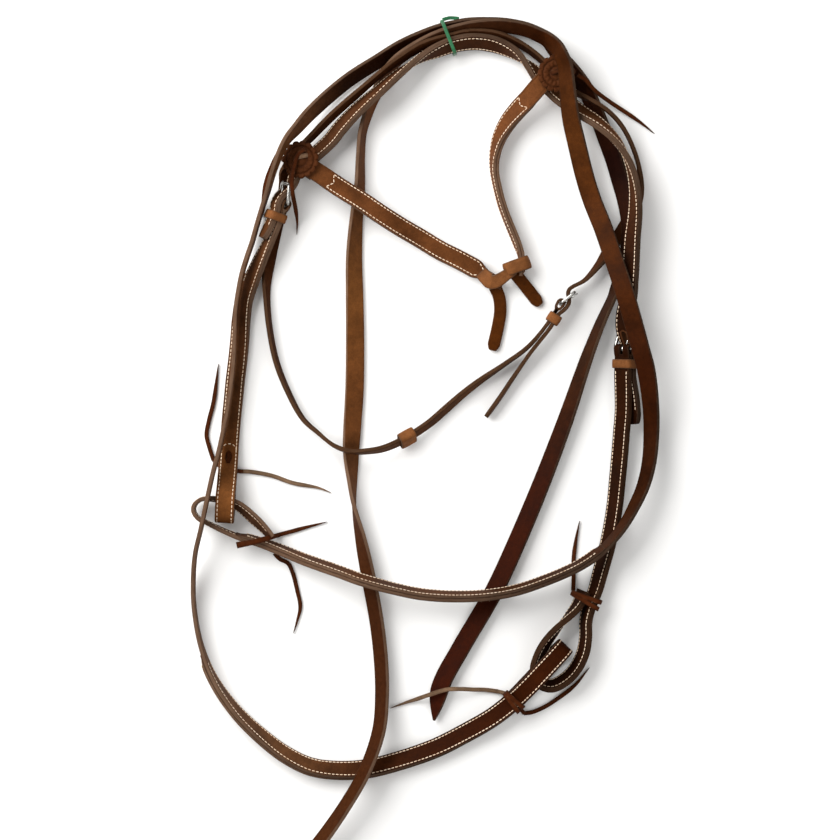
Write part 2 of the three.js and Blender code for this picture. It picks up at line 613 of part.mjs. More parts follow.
const reinRightRoute = [
  ...lay(STRAP, REIN_THICK, [[79, -280, 0, 0], [95, -264, 0, 0], [112, -246, 0, 0]]),
  ...fold(129.9, -226.6, [0.69, 0.73], 2.1, 30.4),
  ...lay(STRAP, REIN_THICK, [
    [112, -246, 28.3, -2], [102, -256.5, 27.5, -4], [92, -267, 18, -8], [82, -276, 10.5, -10],
    [66, -288, 8.5, -12], [40, -303, 5, -16], [10, -318, 3.4, -22], [-30, -331.5, 3.2, -28],
    [-60, -338.5, 3, -32], [-90, -339.5, 2.6, -38], [-115, -335.5, 2.2, -45], [-140, -323, 2, -52],
    [-165, -303.5, 1.8, -60], [-186, -283, 1.2, -68], [-203, -261, 0.8, -76], [-215, -240, 0.4, -83],
    [-225, -212, 0, -88], [-231, -177, 0, -90], [-231.5, -151, 4, -90], [-229, -124, 16, -90],
    [-222.5, -97, 26.6, -90], [-217, -71, 26.8, -90], [-210, -39, 24, -90], [-205.8, -24, 21, -89],
    [-202, -6, 12, -88],
    [-198.5, 10, 9, -86], [-194.5, 35, 8.4, -84], [-191, 65, 9.6, -80], [-189.5, 95, 10.8, -78],
    [-188.5, 120, 11.6, -76], [-186, 138, 11.6, -76], [-182.5, 156, 10.8, -74], [-177.5, 173, 8.6, -72],
    [-172.5, 188, 5, -70], [-167.5, 206, 4, -70], [-162.5, 222, 4, -68], [-157, 238, 10, -66],
    [-151, 256, 27, -62], [-143.2, 276, 36.4, -58],
    [-137, 288, 35.6, -57], [-127, 301, 24, -55], [-114.5, 316, 10, -54], [-97, 333, 3, -54], [-75, 351, 1.4, -54],
    [-45, 370, 1.4, -54], [-25, 382.5, 1.4, -54], [-5, 392, 1.4, -55], [15, 399.5, 1.4, -56],
    [30, 403, 1.4, -56], [45, 405.5, 1.4, -56], [75, 405.5, 1.4, -56], [90, 403.5, 1.4, -56],
    [105, 399.5, 1, -55], [122, 390.5, 0.5, -54], [131, 378.5, 0, -53], [149.5, 357.5, 0, -50],
    [159, 344, 0, -47], [168.5, 324, 0, -44], [175, 308, 0, -42], [182, 290, 0, -38], [189.5, 270, 0, -34],
    [195.5, 250, 0, -32], [201, 230, 3, -32], [204.5, 210, 4.8, -33], [204.5, 190, 5.4, -36], [202, 172, 2, -44],
    [195.5, 153, 0, -58], [190.2, 140, 0, -66], [187, 132, 0, -72], [176, 108, 0, -68], [163, 75, 0, -60], [141, 11, 0, -44],
    [118, -50, 0, -32], [93, -110, 0, -24], [72, -156, 0, -22], [61, -176, 0, -22], [35, -220, 0, -22],
    [16, -256, 0, -22], [9, -291, 0, -20],
  ]),
];

const REIN_TIP = 34; // length of a rein's pointed end
const SAFE_END = 450; // where the lining under the bit end stops
piece("rein_left", strap(reinLeftRoute, { width: STRAP, thick: REIN_THICK, tip: REIN_TIP, narrow: 0.16 }), LEATHER);
const safeShift = (REIN_THICK + REIN_SAFE) / 2 + GAP;
piece("rein_left_lining", strap(reinLeftRoute, { width: STRAP, thick: REIN_SAFE, shift: safeShift, from: 150,
  to: SAFE_END + 92, mirrored: true }), LEATHER);
piece("rein_right", strap(reinRightRoute, { width: STRAP, thick: REIN_THICK, tip: REIN_TIP, narrow: 0.16 }), LEATHER);
piece("rein_right_lining", strap(reinRightRoute, { width: STRAP, thick: REIN_SAFE, shift: safeShift, from: 162,
  to: SAFE_END + 112, mirrored: true }), LEATHER);


// ---- rosettes ------------------------------------------------------------------------------------

// A scalloped leather disc with a tooled ring and a raised middle.
function rosette(name, { at, tilt, towards }) {
  const r = ROSETTE_RADIUS;
  const t = ROSETTE_THICK;
  const profile = [[0, 0], [r - 0.4, 0], [r, t * 0.5], [r - 0.8, t], [r - 3.2, t], [r - 4, t - 0.7], [r - 5, t],
    [6, t + 0.5], [0, t + 0.6]].map(([x, y]) => new THREE.Vector2(x, y));
  const disc = new THREE.LatheGeometry(profile, 48);
  const spots = disc.attributes.position;
  for (let i = 0; i < spots.count; i++) {
    const reach = Math.hypot(spots.getX(i), spots.getZ(i));
    const lobe = reach > r - 2 ? 1 - 0.035 * (0.5 + 0.5 * Math.cos(12 * Math.atan2(spots.getZ(i), spots.getX(i)))) : 1;
    spots.setX(i, spots.getX(i) * lobe);
    spots.setZ(i, spots.getZ(i) * lobe);
  }
  disc.translate(0, -t / 2, 0).rotateX(Math.PI / 2);
  const hinge = new THREE.Vector3(-Math.sin(rad(towards)), Math.cos(rad(towards)), 0);
  disc.applyMatrix4(new THREE.Matrix4().makeRotationAxis(hinge, rad(tilt)));
  return piece(name, disc.translate(...at), LEATHER);
}
rosette("rosette_left", { at: [-124, 269, 33], tilt: 10, towards: 190 });
rosette("rosette_right", { at: [131, 355, 29], tilt: 3, towards: 20 });

// ---- laces ---------------------------------------------------------------------------------------

function lace(name, rows) {
  const flat = rows.map(([x, y, base, lean = 0]) => [x, y, base, lean]);
  const body = strap(lay(LACE_WIDTH, LACE_THICK, flat), { width: LACE_WIDTH, thick: LACE_THICK });
  return piece(name, body, LACE_LEATHER);
}

// A lace hitched over one or more plies: half is how far it reaches to each side of them, top is the
// height that it goes over at, and drop is how far its two legs come down.
function hitch(name, { at, heading, half, top, drop, width = LACE_WIDTH * 2 }) {
  const profile = [[-half - 2.4, top - drop], [-half - 1.6, top - drop / 2], [-half - 0.6, top - 2.4], [-half + 2, top + 0.6],
    [0, top + 1.3], [half - 2, top + 0.6], [half + 0.6, top - 2.4], [half + 1.6, top - drop / 2], [half + 2.4, top - drop]];
  const c = Math.cos(rad(heading + 90));
  const d = Math.sin(rad(heading + 90));
  const route = profile.map(([q, z]) => ({ point: new THREE.Vector3(at[0] + q * c, at[1] + q * d, z), lean: 0 }));
  return piece(name, strap(route, { width, thick: LACE_THICK }), LACE_LEATHER);
}

lace("rosette_left_lace_front", [[-119, 279, 38], [-126, 274, 37], [-130, 262, 36.4], [-132.5, 248, 37],
  [-131.5, 235, 36.5], [-129, 220, 20], [-128, 208, 4], [-128.5, 196, 0.2]]);
lace("rosette_left_lace_back", [[-144, 280, 16], [-149, 273, 10], [-154.5, 262, 3], [-159, 250, 0.4], [-162, 235, 0.2],
  [-164, 214, 0.2]]);
lace("rosette_right_lace", [[152, 354, 25], [160, 349, 23], [169, 339.5, 18.5], [184, 329, 8], [198.6, 320, 2],
  [215, 309, 0.3], [230, 297, 0.2]]);

hitch("cheek_left_tie", { at: [-197, -34.5], heading: 88, half: 10.3, top: 19.4, drop: 14 });
lace("cheek_left_lace_long", [[-212.5, -29, 0.3], [-216, -18, 0.2], [-219, -5, 0.2], [-216.5, 10, 0.2], [-212, 28, 0.2],
  [-207, 66.5, 0.2]]);
lace("cheek_left_lace_right", [[-183, -41.5, 1], [-174, -42, 0.2], [-153, -46, 0.2], [-133, -53, 0.2],
  [-107, -58, 0.2], [-94, -63, 0.2]]);

hitch("rein_left_tie", { at: [-162.5, -107], heading: 152, half: 12.4, top: 24.4, drop: 17 });
lace("rein_left_lace_upper", [[-150, -106, 0.4], [-135, -102, 0.2], [-117, -97, 0.2], [-98, -92, 0.2]]);
lace("rein_left_lace_lower", [[-145.5, -129.5, 0.4], [-137.5, -133.5, 0.2], [-133, -142, 0.2], [-128, -161, 0.2],
  [-125, -177, 0.2], [-128, -191, 0.2], [-132, -204, 0.2]]);

hitch("cheek_right_tie", { at: [160.5, -169], heading: 66, half: 14.6, top: 22.5, drop: 15 });
lace("cheek_right_lace", [[148.5, -161, 0.4], [149, -149, 0.2], [149, -130, 0.2], [151, -112, 0.2], [155, -91, 0.2]]);

hitch("rein_right_tie", { at: [88, -271], heading: 44, half: 10.6, top: 25, drop: 20 });
lace("rein_right_lace_left", [[73, -262, 0.4], [61, -260.5, 1], [48.6, -260, 4], [35, -259, 10.5], [21.8, -259.5, 12.4],
  [5, -264.5, 11], [-8, -269.5, 3], [-20, -273.5, 0.3], [-35, -279, 0.2]]);
lace("rein_right_lace_right", [[99, -284, 0.4], [107, -283, 0.2], [118, -278.5, 0.2], [129, -272, 0.2], [150, -256, 0.2],
  [165, -238, 0.2]]);

// ---- twist tie round the bundle of straps at the top --------------------------------------------

const TIE = { inWidth: 35, inHeight: 26, length: 3.5, wall: 1 };
const tieBand = keeperBand(TIE).rotateZ(rad(22 - 90)).translate(23.3, 392, TIE.wall + TIE.inHeight / 2);
piece("twist_tie", tieBand, GREEN);
const flapRows = lay(3.5, TIE.wall, [[21, 412.6, 17, 0], [28, 414.4, 15.5, 0], [36, 413.4, 15, 0]]);
piece("twist_tie_flap", strap(flapRows, { width: 3.5, thick: TIE.wall }), GREEN);

// Stand the whole layout on the floor, with the middle of its box over the origin.
const box = new THREE.Box3().setFromObject(headstall);
const middle = box.getCenter(new THREE.Vector3());
headstall.position.set(-middle.x, -middle.y, -box.min.z);

export default headstall;
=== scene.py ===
"""Futurity-knot browband headstall, throat latch and two split reins, laid out flat on a pale floor.

Everything is in the layout's own millimetres. Every strap follows a text of rows "x y base lean", where base
is the height of its lowest edge and lean is the tilt of its face in degrees.
"""
import math
import random

import bpy
import numpy as np
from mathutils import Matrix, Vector


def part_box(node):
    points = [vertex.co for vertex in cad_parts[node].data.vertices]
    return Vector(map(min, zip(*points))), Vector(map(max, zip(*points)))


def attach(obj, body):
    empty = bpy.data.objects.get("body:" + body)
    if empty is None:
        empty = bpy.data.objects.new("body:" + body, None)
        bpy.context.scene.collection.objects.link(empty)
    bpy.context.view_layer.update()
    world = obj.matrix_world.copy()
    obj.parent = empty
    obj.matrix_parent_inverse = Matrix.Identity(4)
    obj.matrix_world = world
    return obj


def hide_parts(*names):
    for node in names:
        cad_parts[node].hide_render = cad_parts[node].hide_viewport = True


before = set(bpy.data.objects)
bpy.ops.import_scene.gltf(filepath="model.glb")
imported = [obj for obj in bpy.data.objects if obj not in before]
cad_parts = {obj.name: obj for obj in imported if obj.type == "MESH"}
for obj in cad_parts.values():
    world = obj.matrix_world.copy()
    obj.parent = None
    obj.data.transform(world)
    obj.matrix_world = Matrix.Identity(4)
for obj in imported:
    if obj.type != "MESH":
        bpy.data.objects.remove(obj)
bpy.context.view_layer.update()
random.seed(7)

MM = 0.001
UP = np.array([0.0, 0.0, 1.0])

# The layout's origin in the row frame comes from where the twist tie stands.
TIE_AT = (23.3, 392.0)
tie_low, tie_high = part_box("twist_tie")
ORIGIN = np.array([(tie_low.x + tie_high.x) / 2 / MM - TIE_AT[0],
                   (tie_low.y + tie_high.y) / 2 / MM - TIE_AT[1], tie_low.z / MM])

# Widths and thicknesses of the leather. REIN_SAFE is the ply sewn on a rein's doubled end.
GAP, STRAP, THROAT, REIN_THICK, REIN_SAFE = 0.3, 19.0, 12.7, 4.2, 2.8
OUTER_PLY, LINING_PLY, LACE_WIDTH, LACE_THICK = 3.2, 2.6, 4.2, 1.8
LINED = OUTER_PLY + GAP + LINING_PLY
CHAPE = 2.6  # the thinned strap end that is folded round a buckle's bar
CHEEK_BUCKLE = dict(inside=20.4, reach=20.0, wire=3.6, tilt=18.0, eye=3.3, width=3.4)
THROAT_BUCKLE = dict(inside=14.1, reach=17.0, wire=3.0, tilt=19.0, eye=2.8, width=3.0)
THROAT_THICK = 4.0
# How high a billet's middle stands over a buckle's middle plane: over the folded end, and on the strap.
OVER_EYE = CHEEK_BUCKLE["wire"] / 2 + GAP + CHAPE + GAP + LINED / 2
THROAT_OVER_EYE = THROAT_BUCKLE["wire"] / 2 + GAP + CHAPE + GAP + THROAT_THICK / 2
ON_CHEEK, ON_THROAT = LINED + GAP, THROAT_THICK + GAP


def cos_sin(degrees):
    return math.cos(math.radians(degrees)), math.sin(math.radians(degrees))


def circle(sides):
    """The (cosine, sine) pairs round a circle."""
    return [cos_sin(360 * k / sides) for k in range(sides)]


def unit(v):
    return v / np.linalg.norm(v, axis=-1, keepdims=True)


def table(rows, columns):
    """A text of numbers as rows of this many columns."""
    return np.array(rows.replace(",", " ").split(), float).reshape(-1, columns)


def placed(name, data):
    """A new object in the scene."""
    obj = bpy.data.objects.new(name, data)
    bpy.context.scene.collection.objects.link(obj)
    return obj


# ---- routes --------------------------------------------------------------------------------------

def lay(width, thick, rows):
    """A text of rows "x y base lean" as centreline points (mm) with their leans."""
    out = []
    for x, y, base, lean in table(rows, 4):
        c, s = cos_sin(lean)
        out.append(((x, y, base + (width * abs(s) + thick * abs(c)) / 2), lean))
    return out


def loose(rows):
    """A text of rows "x y height" as a route without lean."""
    return [(p, 0) for p in table(rows, 3)]


def fold(x, y, forward, start, stop):
    """A flat fold: half a turn in the vertical plane, from one centre height to another."""
    r, mid = (stop - start) / 2, (stop + start) / 2
    return [((x + forward[0] * abs(r) * c, y + forward[1] * abs(r) * c, mid + r * s), 0)
            for c, s in map(cos_sin, (-90, -45, 0, 45, 90))]


def heading_pair(heading):
    """The level directions along a heading in degrees, and to its left."""
    c, s = cos_sin(heading)
    return np.array([c, s, 0.0]), np.array([-s, c, 0.0])


class Site:
    """A buckle's place: local x across the strap, y along it past the bar, z out of its face."""

    def __init__(self, bar, heading, lean):
        c, s = cos_sin(lean)
        along, _ = heading_pair(heading)
        side = np.cross(along, UP)
        self.origin = np.array(bar, float)
        self.axes = np.array([side * c + UP * s, along, UP * c - side * s])

    def point(self, p):
        return self.origin + np.asarray(p, float) @ self.axes

    def run(self, lean, *spots):
        """Part of a route at local (y, z) spots."""
        return [(tuple(self.point((0, y, z))), lean) for y, z in spots]


left_site = Site((-140.5, 226, 18.8), 69, 70)
right_site = Site((198.5, 81, 18), 88, -135)
throat_site = Site((136, 127, 12.5), 57, -90)

crown_route = [
    *left_site.run(70, (-40, ON_CHEEK + 1.6), (-28, ON_CHEEK + 0.3), (-15, ON_CHEEK), (-9.5, ON_CHEEK + 0.1),
                   (-3, OVER_EYE), (4, OVER_EYE - 0.6)), *left_site.run(68, (20, 0)), *lay(STRAP, LINED, """
    -128.7 257 6.4 58, -121 265.5 4.2 52, -114 272 3.8 51, -95 289 5 51, -85 301.5 8 50, -69 318 14 54,
    -47 337 19.6 62, -25 356.5 14 74, -5 371 8 96, 12 379 7 118, 30 385.5 6.5 128, 50 388 6 130,
    70 385 6 128, 90 376 5.4 108, 105 363 4.2 70, 113 354.5 3.8 52, 121 346.5 3.8 44, 135 333 4.4 42,
    152 320 10 50, 175 304 17.6 62, 192 287 17.6 76, 203 267 17 94, 208.5 245 17.5 106, 209.5 220 19.5 118,
    206.5 190 20 130, 205 165 19.5 135, 204 148 19.4 135, 203.2 134 15.5 135"""),
    *right_site.run(135, (33, -0.6), (20, 0), (4, OVER_EYE - 0.6), (-3, OVER_EYE), (-9.5, ON_CHEEK + 0.1),
                    (-15, ON_CHEEK), (-28, ON_CHEEK + 0.7)),
    *lay(STRAP, LINED, "206 32 3 133, 208.5 6 1 132")]

cheek_left_route = [
    *left_site.run(-70, (0, 0), (-12, 0), (-26, 0)), *lay(STRAP, LINED, """
    -155.5 189 7.5 -66, -165 169 5.5 -54, -173.5 150 2.5 -44, -181 130 0.2 -34, -184 110 0 -25,
    -185.5 90 0 -18, -187.5 70 0 -12, -190 50 0 -8, -192 30 0 -5, -194 10 0.4 -3, -195.5 -10 3 0,
    -196.3 -26 6.8 0, -197 -38 10.5 0, -198 -54 20.5 0, -199 -66 25.6 0"""),
    *fold(-199.6, -77, [-0.06, -1], 28.9, 3.05),
    *lay(STRAP, LINED, "-199 -62 0 0, -197.8 -46 0 0, -196.8 -30 0 0")]

cheek_right_route = [
    *right_site.run(135, (0, 0), (-12, 0), (-26, 0)), *lay(STRAP, LINED, """
    198 38 7.2 134, 198 18 5.6 132, 196.5 -2 3.4 132, 194.8 -25 1 132, 192.5 -50 0 131, 190 -75 0 130,
    186 -100 0 130, 181.5 -120 0 128, 176 -140 0 126, 170.5 -160 0.5 122, 164 -177 1 118, 160.8 -192 2 114,
    160.5 -207 4 114, 158 -222 5 115, 151 -237 5 116, 140 -249 5 116, 126 -255.5 5 116, 115 -251.5 5 116,
    111 -240 5 116, 114.5 -226 5 116, 121 -213 6.8 112, 131 -200 5.6 102, 143 -187 2 84, 152.5 -175 1 70,
    159 -161 0.5 62""")]

brow_left_route = [
    *lay(STRAP, OUTER_PLY, "-110 258.5 0 0, -119 264.4 0 0"), *fold(-127.5, 269.8, [-0.84, 0.54], 1.6, 26.6),
    *lay(STRAP, OUTER_PLY, """
    -119 264.4 25.6 0, -110 258.5 27 2, -100 252 25.6 4, -85 242 22.6 6, -65 229.5 22.6 8, -45 216 21 8,
    -25 203.5 14 8, -5 192 8 8, 15 180 6 8, 35 170 6 7, 53 160 6.6 4, 66 152 7 0, 78 145 7 0""")]

brow_right_route = [
    *lay(STRAP, OUTER_PLY, "115.5 345 0 0, 121 351.3 0 0"), *fold(126.4, 357.4, [0.66, 0.75], 1.6, 22),
    *lay(STRAP, OUTER_PLY, """
    119 349 22.6 0, 111 340 24.2 -6, 104 332 20 -14, 93 321 14 -26, 82 308 8 -40, 73 292 4 -58,
    68.5 275 2 -72, 68 260 0.6 -80, 70.5 245 0.4 -82, 75 227 0.4 -82, 81 210 0.4 -82, 88 193 0.6 -82,
    94 177 2.4 -84, 95.5 168 3.4 -88, 95.5 154 3.4 -90""")]

throat_route = [
    *throat_site.run(90, (0, 0), (-14, 0), (-26, 0)), *lay(THROAT, THROAT_THICK, """
    103 83 4 86, 80 66 1.5 84, 55 49 0 74, 37 35 0 68, 20 20 0 64, 5 7 1.5 64, -18 -8 5 66, -40 -18 12 70,
    -56 -21 16.6 76, -73 -21.5 16.6 82, -90 -16 14 86, -108 -2 6 92, -122 11 2 96, -136 36 0 100,
    -149 69 0 102, -156 105 0 102, -158.5 135 0 108, -158 155 0 130, -155 175 0 168, -150 198 0 176,
    -144.5 222 0 176, -141 237 0 172, -140 249 0.2 162, -140 257 2.8 148, -137.5 265 5.8 116,
    -132.6 273 6.4 101, -125 282 6 102, -115 291.5 5.4 110, -97.5 309 9 114, -82.5 322.5 15.4 114,
    -67 335.5 19.8 112, -52 348.5 20.6 108, -37.5 360.5 20 110, -22 371.8 15.4 114, -2 383.6 12 120,
    23 391 10 126, 45 395.8 9 126, 70 394.5 8 122, 90 388 5 112, 105 379.5 3 106, 119 367.5 4.8 104,
    132 352.5 4 102, 148 338.5 9 98, 166 328.5 17.2 92, 182 318.5 17.2 90, 197 303 10 90, 209 280 3 90,
    215 258 0 94, 214.5 240 0 124, 209 221 0 165, 200 204 0 178, 191 189.5 0 178, 184.5 179.5 0 158,
    176 168 2 116, 160 150 5.5 94"""),
    *throat_site.run(90, (15, -0.4), (4, THROAT_OVER_EYE), (-4, THROAT_OVER_EYE - 0.3),
                     (-10, ON_THROAT + 0.1), (-17, ON_THROAT), (-28, ON_THROAT)),
    *lay(THROAT, THROAT_THICK, "106 78 6 90, 88 52 1 86, 74 31 0 84, 61 13 0 84")]

rein_left_route = lay(STRAP, REIN_THICK, """
    -153.5 -107.5 3.2 74, -157 -103 3.2 72, -170 -90 5 62, -188 -75 6.6 66, -204 -70 6.6 78,
    -215 -68.8 6.6 84, -224 -69.5 6.5 90, -230.2 -75 6.5 90, -231 -81 6.5 90, -226.5 -88 6.5 90,
    -217 -93 6.5 90, -206 -98.5 6 88, -195 -103.4 5 86, -184 -107.8 3 84, -163 -114.5 0.6 80,
    -143 -122 0.2 76, -123 -130 4 74, -104 -136.5 10 72, -85 -143 15 72, -67 -149.5 18.8 72,
    -50 -154.5 18.8 72, -27 -160.5 17 74, -5 -165 14.5 74, 27 -167.5 12 75, 59 -166.5 12 76, 88 -162 12 76,
    115 -153.5 12 76, 152 -137.5 15 76, 172 -124 18.6 74, 184 -112 18.8 72, 197 -96 18.6 70, 208 -77 16 64,
    218 -55 13 58, 224 -30 11 52, 226 -2 10 46, 225 25 17 40, 220 60 27.5 28, 214.5 80 31 25, 209 100 32 22,
    198 138 33 20, 187 173 25 20, 178 201 16 18, 167 230 8 18, 160 252 10 19, 151 287 18 24, 145 312 26 32,
    141.5 340 32 42, 139 362 32 48, 134.5 373 35 50, 130 381 27 52, 124 387.5 19 53, 116 393 12 54,
    100 400 9 55, 75 403.8 8.4 55, 50 402.5 6.8 56, 30 398.5 5 58, 15 394 4 60, 0 387.5 3 62, -15 379 2 64,
    -28 369.5 1 64, -37.5 358 0 62, -45 344 0 62, -52 330 0 66, -57 317 0 70, -62.5 298 0 74,
    -64.5 275 0 73, -65.5 243 0 66, -69 208 0 55, -71 173 0 42, -70.5 135 0 32, -70 95 0 24, -70.5 42 0 20,
    -73 0 0 30, -74 -22 0 42, -73 -48 0 66, -71 -75 0 90, -64 -110 0 118, -57 -145 0 130, -48.5 -191 0 130,
    -44 -231 0 130, -43 -265 2 128, -46 -300 10 126, -60 -340 18.6 122, -78 -372 16 122, -104 -410 8 126,
    -135 -448 0 128, -165 -484 0 130, -190 -516 0 130""")

rein_right_route = [
    *lay(STRAP, REIN_THICK, "79 -280 0 0, 95 -264 0 0, 112 -246 0 0"),
    *fold(129.9, -226.6, [0.69, 0.73], 2.1, 30.4), *lay(STRAP, REIN_THICK, """
    112 -246 28.3 -2, 102 -256.5 27.5 -4, 92 -267 18 -8, 82 -276 10.5 -10, 66 -288 8.5 -12, 40 -303 5 -16,
    10 -318 3.4 -22, -30 -331.5 3.2 -28, -60 -338.5 3 -32, -90 -339.5 2.6 -38, -115 -335.5 2.2 -45,
    -140 -323 2 -52, -165 -303.5 1.8 -60, -186 -283 1.2 -68, -203 -261 0.8 -76, -215 -240 0.4 -83,
    -225 -212 0 -88, -231 -177 0 -90, -231.5 -151 4 -90, -229 -124 16 -90, -222.5 -97 26.6 -90,
    -217 -71 26.8 -90, -210 -39 24 -90, -205.8 -24 21 -89, -202 -6 12 -88, -198.5 10 9 -86,
    -194.5 35 8.4 -88, -191 65 9.6 -88, -189.5 95 10.8 -88, -188.5 120 11.6 -88, -186 138 11.6 -88,
    -182.5 156 10.8 -88, -177.5 173 8.6 -88, -172.5 188 5 -88, -167.5 206 4 -88, -162.5 222 4 -87,
    -157 238 10 -86, -151 256 27 -84, -143.2 276 36.4 -80, -137 288 35.6 -76, -127 301 24 -66,
    -114.5 316 10 -58, -97 333 3 -54, -75 351 1.4 -54, -45 370 1.4 -54, -25 382.5 1.4 -54, -5 392 1.4 -55,
    15 399.5 1.4 -56, 30 403 1.4 -56, 45 405.5 1.4 -56, 75 405.5 1.4 -56, 90 403.5 1.4 -56, 105 399.5 1 -55,
    122 390.5 0.5 -54, 131 378.5 0 -53, 149.5 357.5 0 -50, 159 344 0 -47, 168.5 324 0 -44, 175 308 0 -42,
    182 290 0 -38, 189.5 270 0 -34, 195.5 250 0 -32, 201 230 3 -32, 204.5 210 4.8 -33, 204.5 190 5.4 -36,
    202 172 2 -44, 195.5 153 0 -58, 190.2 140 0 -66, 187 132 0 -72, 176 108 0 -68, 163 75 0 -60,
    141 11 0 -44, 118 -50 0 -32, 93 -110 0 -24, 72 -156 0 -22, 61 -176 0 -22, 35 -220 0 -22, 16 -256 0 -22,
    9 -291 0 -20""")]

LACES = {
    "rosette_left_lace_front": """
        -119 279 38, -126 274 37, -130 262 36.4, -132.5 248 37, -131.5 235 36.5, -129 220 20,
        -128 208 4, -128.5 196 0.2""",
    "rosette_left_lace_back": """
        -144 280 16, -149 273 10, -154.5 262 3, -159 250 0.4, -162 235 0.2, -164 214 0.2""",
    "rosette_right_lace": """
        152 354 25, 160 349 23, 169 339.5 18.5, 184 329 8, 198.6 320 2, 215 309 0.3, 230 297 0.2""",
    "cheek_left_lace_long": """
        -212.5 -29 0.3, -216 -18 0.2, -219 -5 0.2, -216.5 10 0.2, -212 28 0.2, -207 66.5 0.2""",
    "cheek_left_lace_right": """
        -183 -41.5 1, -174 -42 0.2, -153 -46 0.2, -133 -53 0.2, -107 -58 0.2, -94 -63 0.2""",
    "rein_left_lace_upper": "-150 -106 0.4, -135 -102 0.2, -117 -97 0.2, -98 -92 0.2",
    "rein_left_lace_lower": """
        -145.5 -129.5 0.4, -137.5 -133.5 0.2, -133 -142 0.2, -128 -161 0.2, -125 -177 0.2,
        -128 -191 0.2, -132 -204 0.2""",
    "cheek_right_lace": "148.5 -161 0.4, 149 -149 0.2, 149 -130 0.2, 151 -112 0.2, 155 -91 0.2",
    "rein_right_lace_left": """
        73 -262 0.4, 61 -260.5 1, 48.6 -260 4, 35 -259 10.5, 21.8 -259.5 12.4, 5 -264.5 11,
        -8 -269.5 3, -20 -273.5 0.3, -35 -279 0.2""",
    "rein_right_lace_right": """
        99 -284 0.4, 107 -283 0.2, 118 -278.5 0.2, 129 -272 0.2, 150 -256 0.2, 165 -238 0.2""",
}

# ---- curves --------------------------------------------------------------------------------------

def spline(points, u, centripetal=True):
    """Catmull-Rom points at the shares u of the control polygon."""
    points = np.asarray(points, float)
    last = len(points) - 1
    p = np.clip(np.asarray(u, float), 0, 1) * last
    i = np.minimum(np.floor(p).astype(int), last - 1)
    w = (p - i)[:, None]
    padded = np.vstack([2 * points[0] - points[1], points, 2 * points[-1] - points[-2]])
    x0, x1, x2, x3 = (padded[i + k] for k in range(4))
    if centripetal:
        def pace(a, b):
            return np.sqrt(np.linalg.norm(b - a, axis=1))[:, None]
        d1 = np.maximum(pace(x1, x2), 1e-4)
        d0, d2 = pace(x0, x1), pace(x2, x3)
        d0, d2 = np.where(d0 < 1e-4, d1, d0), np.where(d2 < 1e-4, d1, d2)
        t1 = ((x1 - x0) / d0 - (x2 - x0) / (d0 + d1) + (x2 - x1) / d1) * d1
        t2 = ((x2 - x1) / d1 - (x3 - x1) / (d1 + d2) + (x3 - x2) / d2) * d1
    else:
        t1, t2 = 0.5 * (x2 - x0), 0.5 * (x3 - x1)
    return x1 + w * t1 + w**2 * (3 * (x2 - x1) - 2 * t1 - t2) + w**3 * (2 * (x1 - x2) + t1 + t2)


class Stations:
    """Where a strap is at each step of its route, with its width and face directions there."""

    def __init__(self, route, steps=8):
        points = np.array([r[0] for r in route], float)
        leans = np.array([[r[1]] for r in route], float)
        u = np.linspace(0, 1, (len(route) - 1) * steps + 1)
        self.at = spline(points, u)
        along = spline(points, u + 1e-4) - spline(points, u - 1e-4)
        self.along = unit(along)
        lean = np.radians(spline(leans, u, False)[:, 0])
        self.across, self.face = np.zeros_like(self.at), np.zeros_like(self.at)
        side = None
        for k, t in enumerate(self.along):
            n = np.cross(t, UP)
            if np.linalg.norm(n) < 0.25 and side is not None:
                n = side - t * side.dot(t)
            n = unit(n)
            if side is not None and n.dot(side) < 0:
                n = -n
            side = n
            rise = np.cross(side, t)
            self.across[k] = side * math.cos(lean[k]) + rise * math.sin(lean[k])
            self.face[k] = rise * math.cos(lean[k]) - side * math.sin(lean[k])
        self.measure()

    def measure(self):
        self.travelled = np.concatenate([[0], np.cumsum(np.linalg.norm(np.diff(self.at, axis=0), axis=1))])
        self.length = self.travelled[-1]

    def sample(self, distances):
        """at, along, across and face at these distances."""
        out = [np.stack([np.interp(distances, self.travelled, a[:, k]) for k in range(3)], 1)
               for a in (self.at, self.along, self.across, self.face)]
        return [out[0]] + [unit(v) for v in out[1:]]


# ---- meshes --------------------------------------------------------------------------------------

# The record's material slot of each material; the others are russet leather, and thread has none. Blender may
# add ".001" to a name that a CAD material already has.
SLOT_OF = {"waxed_thread": None, "polished_steel": "buckle_steel", "green_twist_tie": "green_tie",
           "light_lace_leather": "lace_leather", "dark_lace_leather": "lace_leather",
           "slot_shadow_leather": "lace_leather", "rosette_leather": "rosette_leather",
           "rein_left_leather": "rein_leather", "rein_right_leather": "rein_leather"}


def shape(name, verts, faces, values=None):
    """A mesh from an array of points in layout millimetres, with values spread over its points."""
    verts = np.asarray(verts, float)
    mesh = bpy.data.meshes.new(name)
    mesh.from_pydata(((verts.reshape(-1, 3) + ORIGIN) * MM).tolist(), [], faces)
    for key, numbers in (values or {}).items():
        numbers = np.broadcast_to(np.asarray(numbers, np.float32), verts.shape[:-1]).ravel()
        mesh.attributes.new(key, "FLOAT", "POINT").data.foreach_set("value", numbers)
    return mesh


def piece(name, verts, faces, material, body="headstall", slot=None, values=None, nodes=(), smooth=40):
    """One object of the model, on the body that it moves with, in place of these CAD nodes."""
    mesh = shape(name, verts, faces, values)
    mesh.materials.append(material)
    mesh.shade_smooth()
    if smooth:
        mesh.set_sharp_from_angle(angle=math.radians(smooth))
    obj = placed(name, mesh)
    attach(obj, body)
    slot = slot or SLOT_OF.get(material.name.split(".")[0], "russet_leather")
    if nodes:
        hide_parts(*nodes)
    return obj


